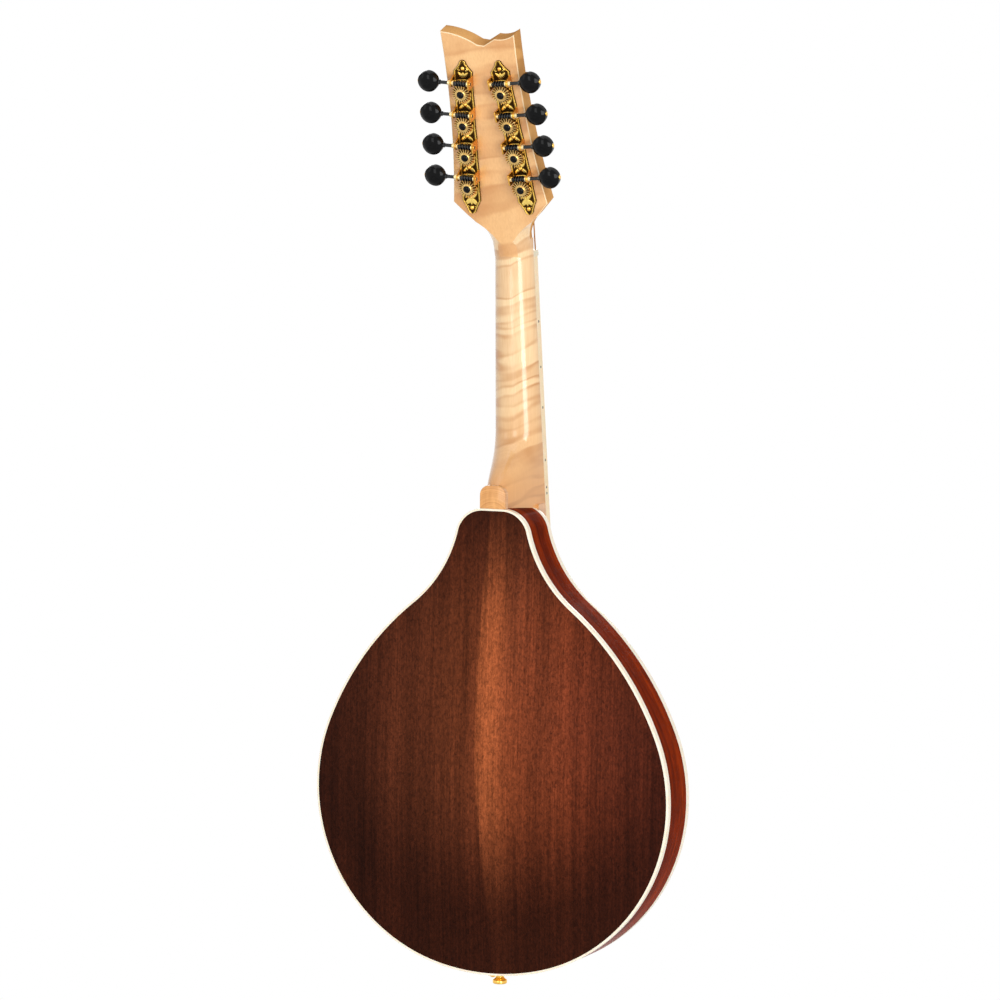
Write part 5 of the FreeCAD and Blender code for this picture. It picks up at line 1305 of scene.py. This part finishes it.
def makeTuners():
    shaft, button, cap = keyParts()
    washer, screw, post, bushing = postParts()
    gear = gearParts()
    ringFaces = gearShape["teeth"] * 6
    bushings = []
    for side in sides:
        for index in range(stripShape["count"]):
            number, spot = str(index + 1), sided(side) @ tunerFrame(index)
            worm = spot @ shifted(0, wormShape["height"], wormShape["mesh"])
            label, body = side + "Key" + number, side + "_key_" + number
            makePiece(label + "Shaft", shaft, "blackMetal", body, 30, [body], worm)
            makePiece(label + "Button", button, "black", body, place=worm)
            makePiece(label + "Cap", cap, "gold", body, place=worm)
            label, body = side + "Post" + number, side + "_post_" + number
            wheel = makePiece(side + "Gear" + number, gear, "brass", body, 25,
                              [side + "_gear_" + number], spot)
            wheel.data.materials.append(finishes["gearFloorShade"])
            # The fins' floor takes the darker brass: painted shade between the fins.
            for face in wheel.data.polygons[2 * ringFaces:3 * ringFaces]:
                face.material_index = 1  # the fins' floor
            makePiece(label, post, "post", body, replaces=[body], place=spot)
            makePiece(label + "Washer", washer, "brass", body, place=spot)
            makePiece(label + "Screw", screw, "black", body, place=spot)
            bushings.append(movedPart(bushing, spot))
    makePiece("postBushings", bushings, "gold", replaces=["post_bushings"])


makeTunerPlates()
makeTuners()
print("tuners made")


# Strings, and what carries them

# At nut, bridge and tail: how far out the outer pair lies, and the gap inside a pair
stringShape = dict(
    names=("e", "a", "d", "g"), radii=(0.16, 0.22, 0.34, 0.50), nut=(11.3, 2.3), bridge=(19.0, 3.0),
    tail=(9.6, 3.0),
    riseNut=1.4, riseJoin=2.3, scale=350.0, bend=3.0, clear=0.05, piece=8.0, sides=10,
    turns=2.3, turnSteps=26, turnRise=2.1, settle=8, loopClear=0.08, twistStart=1.0, twistLength=9.0,
    twistWidth=1.7,
    twistThin=0.8,
)
tailShape = dict(
    sheet=1.2, gap=0.3, tilt=9.5, plateLength=60.0, hookShare=0.45, stagger=5.0, hookHeight=4.4,
    hookRadius=0.9,
    coverLength=54.0, coverHalf=14.8, coverSide=7.0, coverCrown=10.5, skirt=0.8, wall=1.0, bead=0.35,
)
bridgeZ = -stringShape["scale"] * cosNeck


def stringHeight(z):
    s = stringShape
    rise = s["riseNut"] + (s["riseJoin"] - s["riseNut"]) * (-z) / (s["scale"] / 2)
    return z * tanNeck - rise / cosNeck


saddleY = stringHeight(bridgeZ)
tailFrame = (shifted(0, bodyShape["frontY"] - tailShape["sheet"] - tailShape["gap"], tailZ)
             @ turnAbout("X", tailShape["tilt"]))


# One entry for each string, treble to bass, with its places across and its tuner.
def stringPlaces():
    s, rows = stringShape, []
    for pair, name in enumerate(s["names"]):
        share, side = 1 - 2 * pair / 3, "treble" if pair < 2 else "bass"
        for member in (0, 1):
            outer = member == (0 if side == "treble" else 1)
            across = {at: share * s[at][0] + (0.5 - member) * s[at][1] for at in ("nut", "bridge", "tail")}
            rows.append(dict(
                across, name=name + "String" + str(member + 1), node=name + "_strings",
                radius=s["radii"][pair],
                wound=pair > 1, side=side, member=member, tuner=int(outer) + (2 if pair in (0, 3) else 0),
            ))
    return rows


# Points of a line whose corners are small arcs.
def bentLine(points, radius, steps=6):
    made = [points[0]]
    for before, corner, after in zip(points, points[1:], points[2:]):
        back, ahead = (before - corner).normalized(), (after - corner).normalized()
        cut = radius * math.tan((math.pi - back.angle(ahead)) / 2)
        start, end = corner + back * cut, corner + ahead * cut
        for k in range(steps + 1):
            share = k / steps
            made.append(start.lerp(corner, share).lerp(corner.lerp(end, share), share))
    return made + [points[-1]]


# The same line with extra points on its long runs.
def divided(points, step):
    made = [points[0]]
    for a, b in zip(points, points[1:]):
        count = max(1, int((b - a).length / step))
        made += [a.lerp(b, k / count) for k in range(1, count + 1)]
    return made


# One string in four pieces: tail and span ride on no body, the head stays, the coil turns with its post.
def makeString(row):
    s, t, p, r = stringShape, tailShape, postShape, row["radius"]
    look, slot = ("wound", "wound_string") if row["wound"] else ("plain", "plain_string")
    reach = t["hookShare"] * t["plateLength"] + t["stagger"] * row["member"]
    hook = tailFrame @ Vector((row["tail"], -t["hookHeight"] / 2, reach))
    saddle = Vector((row["bridge"], saddleY, bridgeZ))
    nutZ = neckShape["nutThick"] / 2
    nut = Vector((row["nut"], stringHeight(nutZ), nutZ))
    waistY = -neckShape["headThick"] - (p["waistStart"] + p["waistLength"] / 2)
    gap = p["radius"] + r + s["clear"]
    tuner = sided(row["side"]) @ tunerFrame(row["tuner"])
    line = bentLine([hook, saddle, nut, tuner @ Vector((-gap, waistY, 0))], s["bend"])
    atSaddle, atNut = (min(range(len(line)), key=lambda i: (line[i] - spot).length) for spot in (saddle, nut))
    tail = [tubePart(divided(line[:atSaddle + 1], s["piece"]), r, s["sides"])] + loopParts(row, hook, saddle)
    span = tubePart(divided(line[atSaddle:atNut + 1], s["piece"]), r, s["sides"])
    head = tubePart(divided(line[atNut:], s["piece"]), r, s["sides"])
    tail = makePiece(row["name"] + "Tail", tail, look, None)
    span = makePiece(row["name"] + "Span", span, look, None, replaces=[row["node"]])
    makePiece(row["name"] + "Head", head, look)
    for piece, fixed in ((tail, hook), (span, nut)):
        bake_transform(piece)
    coil = []
    for k in range(int(s["turns"] * s["turnSteps"]) + 1):
        angle = 2 * math.pi * k / s["turnSteps"]
        far = p["waist"] + r + (gap - p["waist"] - r) * max(0.0, 1 - k / s["settle"])
        rise = s["turnRise"] * r * k / s["turnSteps"]
        coil.append(tuner @ Vector((-far * math.cos(angle), waistY + rise, far * math.sin(angle))))
    body = row["side"] + "_post_" + str(row["tuner"] + 1)
    makePiece(row["name"] + "Coil", tubePart(coil, r, s["sides"]), look, body)


# Loop round the hook, and the twist that closes it.
def loopParts(row, hook, saddle, loopSteps=24, twistSteps=60, twistTurn=8):
    s, r = stringShape, row["radius"]
    way, across = (saddle - hook).normalized(), Vector((1, 0, 0))
    far = tailShape["hookRadius"] + r + s["loopClear"]
    loop = [hook - way * far + way * far * c + across * far * t for c, t in circle(1, loopSteps)]
    out = way.cross(across)
    twist = []
    for k in range(twistSteps + 1):
        angle = 2 * math.pi * k / twistTurn
        along = s["twistStart"] + s["twistLength"] * k / twistSteps
        turned = across * math.cos(angle) + out * math.sin(angle)
        twist.append(hook + way * along + turned * r * s["twistWidth"])
    return [tubePart(loop + [loop[0]], r, 8), tubePart(twist, r * s["twistThin"], 8)]


fretShape = dict(count=20, inset=0.4, half=1.0, low=0.15, foot=0.3,
                 ends=((0.0, 0.0), (0.25, 0.7), (0.8, 1.0)))


# Fret wires with a round crown, and bevelled ends over the binding.
def makeFrets(steps=12):
    f, parts = fretShape, []
    for number in range(1, f["count"] + 1):
        drop = stringShape["scale"] * (1 - 2 ** (-number / 12))
        half = neckHalfWidth(drop) - f["inset"]
        across = [(-half + inward, rise) for inward, rise in f["ends"]]
        rows = []
        for x, rise in across + [(-x, rise) for x, rise in reversed(across)]:
            row = []
            for k in range(steps + 1):
                angle = math.pi * k / steps
                row.append((x, -math.sin(angle) * max(rise, f["low"]), -drop + f["half"] * math.cos(angle)))
            rows.append(row + [(x, f["foot"], -drop - f["half"]), (x, f["foot"], -drop + f["half"])])
        parts.append(solidPart(rows))
    makePiece("frets", parts, "wire", replaces=["frets"], place=neckFrame)


wheelShape = dict(
    offset=36.5, radius=6.0, thick=2.2, bore=1.65, y=-21.1628, knurls=36, knurlSteps=4, knurlDepth=0.22,
    knurlBand=0.3,
    edge=((0.7, 0.0), (0.15, 0.35), (0.0, 0.6)),
)


# Knurled wheels on the bridge studs.
def makeThumbwheels():
    w = wheelShape
    profile = [(w["bore"], 0)] + [(w["radius"] - inward, y) for inward, y in w["edge"]]
    profile += [(radius, w["thick"] - y) for radius, y in reversed(profile)] + [(w["bore"], 0)]
    rows = []
    for radius, y in profile:
        depth = w["knurlDepth"] if radius > w["radius"] - w["knurlBand"] else 0.0
        row = []
        for k, (c, s) in enumerate(circle(1, w["knurls"] * w["knurlSteps"])):
            far = radius - (0.0 if k % w["knurlSteps"] else depth)
            row.append((far * c, -y, far * s))
        rows.append(row)
    for side, sign in sides.items():
        body = side + "_thumbwheel"
        makePiece(side + "Thumbwheel", gridPart(rows, wrap=True), "gold", body, 25, [body],
                  shifted(sign * w["offset"], w["y"], bridgeZ))


# Sliding tailpiece cover: a rolled hood with a beaded border.
def makeCover():
    t, wall = tailShape, tailShape["wall"]

    def section(grow):
        half, side, crown = (t[key] - wall + grow for key in ("coverHalf", "coverSide", "coverCrown"))
        arc = [(x, -y) for x, y in arcThrough((half, side), (0.0, crown), (-half, side), 30)]
        return [(half, t["skirt"])] + arc + [(-half, -side), (-half, t["skirt"])]

    # The section drawn in a little, for the rolled end.
    def softened(grow, share):
        return [(x * (1 - 0.03 * share), y + (0.6 * share if y < 0 else 0)) for x, y in section(grow)]

    z0, z1 = t["sheet"] + t["gap"], t["sheet"] + t["gap"] + t["coverLength"]
    rows = []
    for z, grow, share in ((z0, wall, 1.0), (z0 + 0.3, wall, 0.4), (z0 + 0.8, wall, 0.0),
                           (z1 - 3.2, wall, 0.0),
                           (z1 - 2.9, wall, 0.0), (z1 - 0.4, wall, 0.0), (z1, wall - 0.3, 0.0),
                           (z1, 0.0, 0.0),
                           (z0 + wall, 0.0, 0.0)):
        rows.append([(x, y, z) for x, y in softened(grow, share)])
    closing = gridPart([rows[0], [(x * 0.02, y * 0.02 - 4, z0) for x, y in softened(wall, 1.0)]])
    line = [tailFrame @ Vector((x, y - 0.05, z1 - 1.6)) for x, y in section(wall)[1:-1]]
    parts = [movedPart(gridPart(rows), tailFrame), movedPart(closing, tailFrame),
             tubePart(line, t["bead"], 10)]
    makePiece("tailpieceCover", parts, "gold", "tailpiece_cover", replaces=["tailpiece_cover"])


strapShape = dict(
    y=24.15, peg=2.6, flange=4.4, stem=3.0, head=5.2, flangeLength=1.2, stemLength=4.0, headLength=2.2,
    crown=0.9,
)


def makeStrapButton():
    s = strapShape
    z1, z2 = s["flangeLength"], s["flangeLength"] + s["stemLength"]
    z3 = z2 + s["headLength"]
    flange, head, crown = s["flange"], s["head"], s["crown"]
    profile = [(s["peg"], -1.2), (s["peg"], 0), (flange - 0.2, 0.0), (flange, 0.25), (flange, z1 - 0.3),
               (flange - 0.3, z1)]
    for k in range(9):
        share = k / 8
        waist = (flange - s["stem"]) * math.sin(math.pi * share) * 0.95
        profile.append((flange - 0.6 + (head - flange) * share - waist, z1 + (z2 - z1) * share))
    profile += [(head - 0.25, z2 + 0.1), (head, z2 + 0.5), (head, z3 - 0.1)]
    for k in range(1, 7):
        angle = math.pi / 2 * k / 6
        profile.append((head - crown * (1 - math.cos(angle)), z3 - 0.1 + crown * math.sin(angle)))
    profile += [(2.4, z3 + crown - 0.1), (2.2, z3 + 0.4), (0.02, z3 + 0.35)]
    turned = shifted(0, s["y"], tailZ - tailShape["sheet"]) @ turnAbout("X", 180)
    makePiece("strapButton", lathePart(profile, 64, turned), "gold", replaces=["strap_button"])


for row in stringPlaces():
    makeString(row)
makeFrets()
makeThumbwheels()
makeCover()
makeStrapButton()
print("strings and fittings made")


# Finishes of the pieces that keep their solid

keptNodes = {
    "neck_block": "inside", "tail_block": "inside", "linings": "inside", "braces": "brace",
    "truss_rod": "steel",
    "fretboard": "board", "fretboard_binding": "boardEdge", "position_dots": "dots", "nut": "bone",
    "bridge_base": "bridge", "bridge_studs": "gold", "bridge_saddle": "bridge", "tailpiece": "gold",
    "tail_screws": "gold",
}


def dressNodes():
    for name, look in keptNodes.items():
        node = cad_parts[name]
        if node.material_slots:
            for spot in node.material_slots:
                spot.material = finishes[look]
        else:
            node.data.materials.append(finishes[look])


dressNodes()
print("kept pieces dressed")


# Camera at the photograph's angle

cameraLook = dict(tilt=5.53, turn=-22.65, roll=-0.47, across=-4.0, up=171.8, distance=3698.8, lens=187.704,
                  sensor=36)


def makeCamera():
    look = cameraLook
    turned = turnAbout("Z", look["roll"]) @ turnAbout("X", look["tilt"]) @ turnAbout("Y", look["turn"])
    back = turned.to_3x3().transposed()
    toRow = Matrix(((-1, 0, 0), (0, 0, 1), (0, 1, 0)))
    spot = toRow @ (back @ Vector((-look["across"], -look["up"], look["distance"])))
    spot += Vector((0, bodyShape["backY"], 0))
    data = bpy.data.cameras.new("camera")
    data.lens = look["lens"]
    data.sensor_width = look["sensor"]
    data.clip_start, data.clip_end = 0.05, 60
    camera = bpy.data.objects.new("camera", data)
    bpy.context.scene.collection.objects.link(camera)
    camera.matrix_world = Matrix.Translation(spot * mm) @ (toRow @ back).to_4x4()
    bpy.context.scene.camera = camera


makeCamera()


# Studio: a pale floor and a plain white surround

studioLook = dict(floorZ=-0.93, floorHalf=1.3, floorPale=(236, 236, 236), floorLight=(243, 243, 243),
                  fill=0.48)


# White for the eye and for reflections, and a softer fill for the rest.
def makeSurround():
    scene = bpy.context.scene
    scene.view_settings.view_transform = "Standard"
    world = bpy.data.worlds.new("studio")
    world.use_nodes = True
    tree = world.node_tree
    tree.nodes.clear()
    path = addNode(tree, "ShaderNodeLightPath").outputs
    seen = sums(tree, "ADD", path["Is Camera Ray"], path["Is Glossy Ray"], clamp=True)
    seen = sums(tree, "ADD", seen, path["Is Transmission Ray"], clamp=True)
    fill = addNode(tree, "ShaderNodeBackground", {"Color": (1, 1, 1, 1), "Strength": studioLook["fill"]})
    white = addNode(tree, "ShaderNodeBackground", {"Color": (1, 1, 1, 1), "Strength": 1.0})
    both = addNode(tree, "ShaderNodeMixShader", {0: seen, 1: fill.outputs[0], 2: white.outputs[0]})
    tree.links.new(both.outputs[0], addNode(tree, "ShaderNodeOutputWorld").inputs[0])
    scene.world = world


def makeFloor():
    look = studioLook
    finish, tree, shader = newFinish("pale floor", Roughness=0.8, Specular_IOR_Level=0.1)
    grain = noise(tree, 6, 3.0, 0.6)
    tree.links.new(fade(tree, grain, (0.3, 0.7), look["floorPale"], look["floorLight"]),
                   shader.inputs["Base Color"])
    mesh = bpy.data.meshes.new("floor")
    rim = [(x, y, look["floorZ"]) for x, y in circle(look["floorHalf"], 96)]
    mesh.from_pydata(rim, [], [tuple(range(len(rim)))])
    mesh.materials.append(finish)
    floor = bpy.data.objects.new("floor", mesh)
    bpy.context.scene.collection.objects.link(floor)


lampAim = (0, 0.02, -0.2)
lamps = (
    dict(name="keyLamp", spot=(-1.54, 1.71, 0.05), size=(0.80, 2.2), power=36),
    dict(name="backLamp", spot=(0.35, 2.4, 0.2), size=(0.7, 1.6), power=9),
    dict(name="leftLamp", spot=(1.9, 1.5, 0.6), size=(0.8, 1.4), power=3),
    dict(name="topLamp", spot=(0.2, 0.6, 2.0), size=(1.2, 1.2), power=3),
    dict(name="frontLamp", spot=(0.6, -2.2, 0.7), size=(1.4, 1.4), power=22),
)


def makeLamps():
    for look in lamps:
        data = bpy.data.lights.new(look["name"], "AREA")
        data.shape = "RECTANGLE"
        data.size, data.size_y = look["size"]
        data.energy = look["power"]
        lamp = bpy.data.objects.new(look["name"], data)
        lamp.location = look["spot"]
        lamp.rotation_euler = (Vector(lampAim) - Vector(look["spot"])).to_track_quat("-Z", "Y").to_euler()
        bpy.context.scene.collection.objects.link(lamp)


makeSurround()
makeFloor()
makeLamps()
print("studio made")
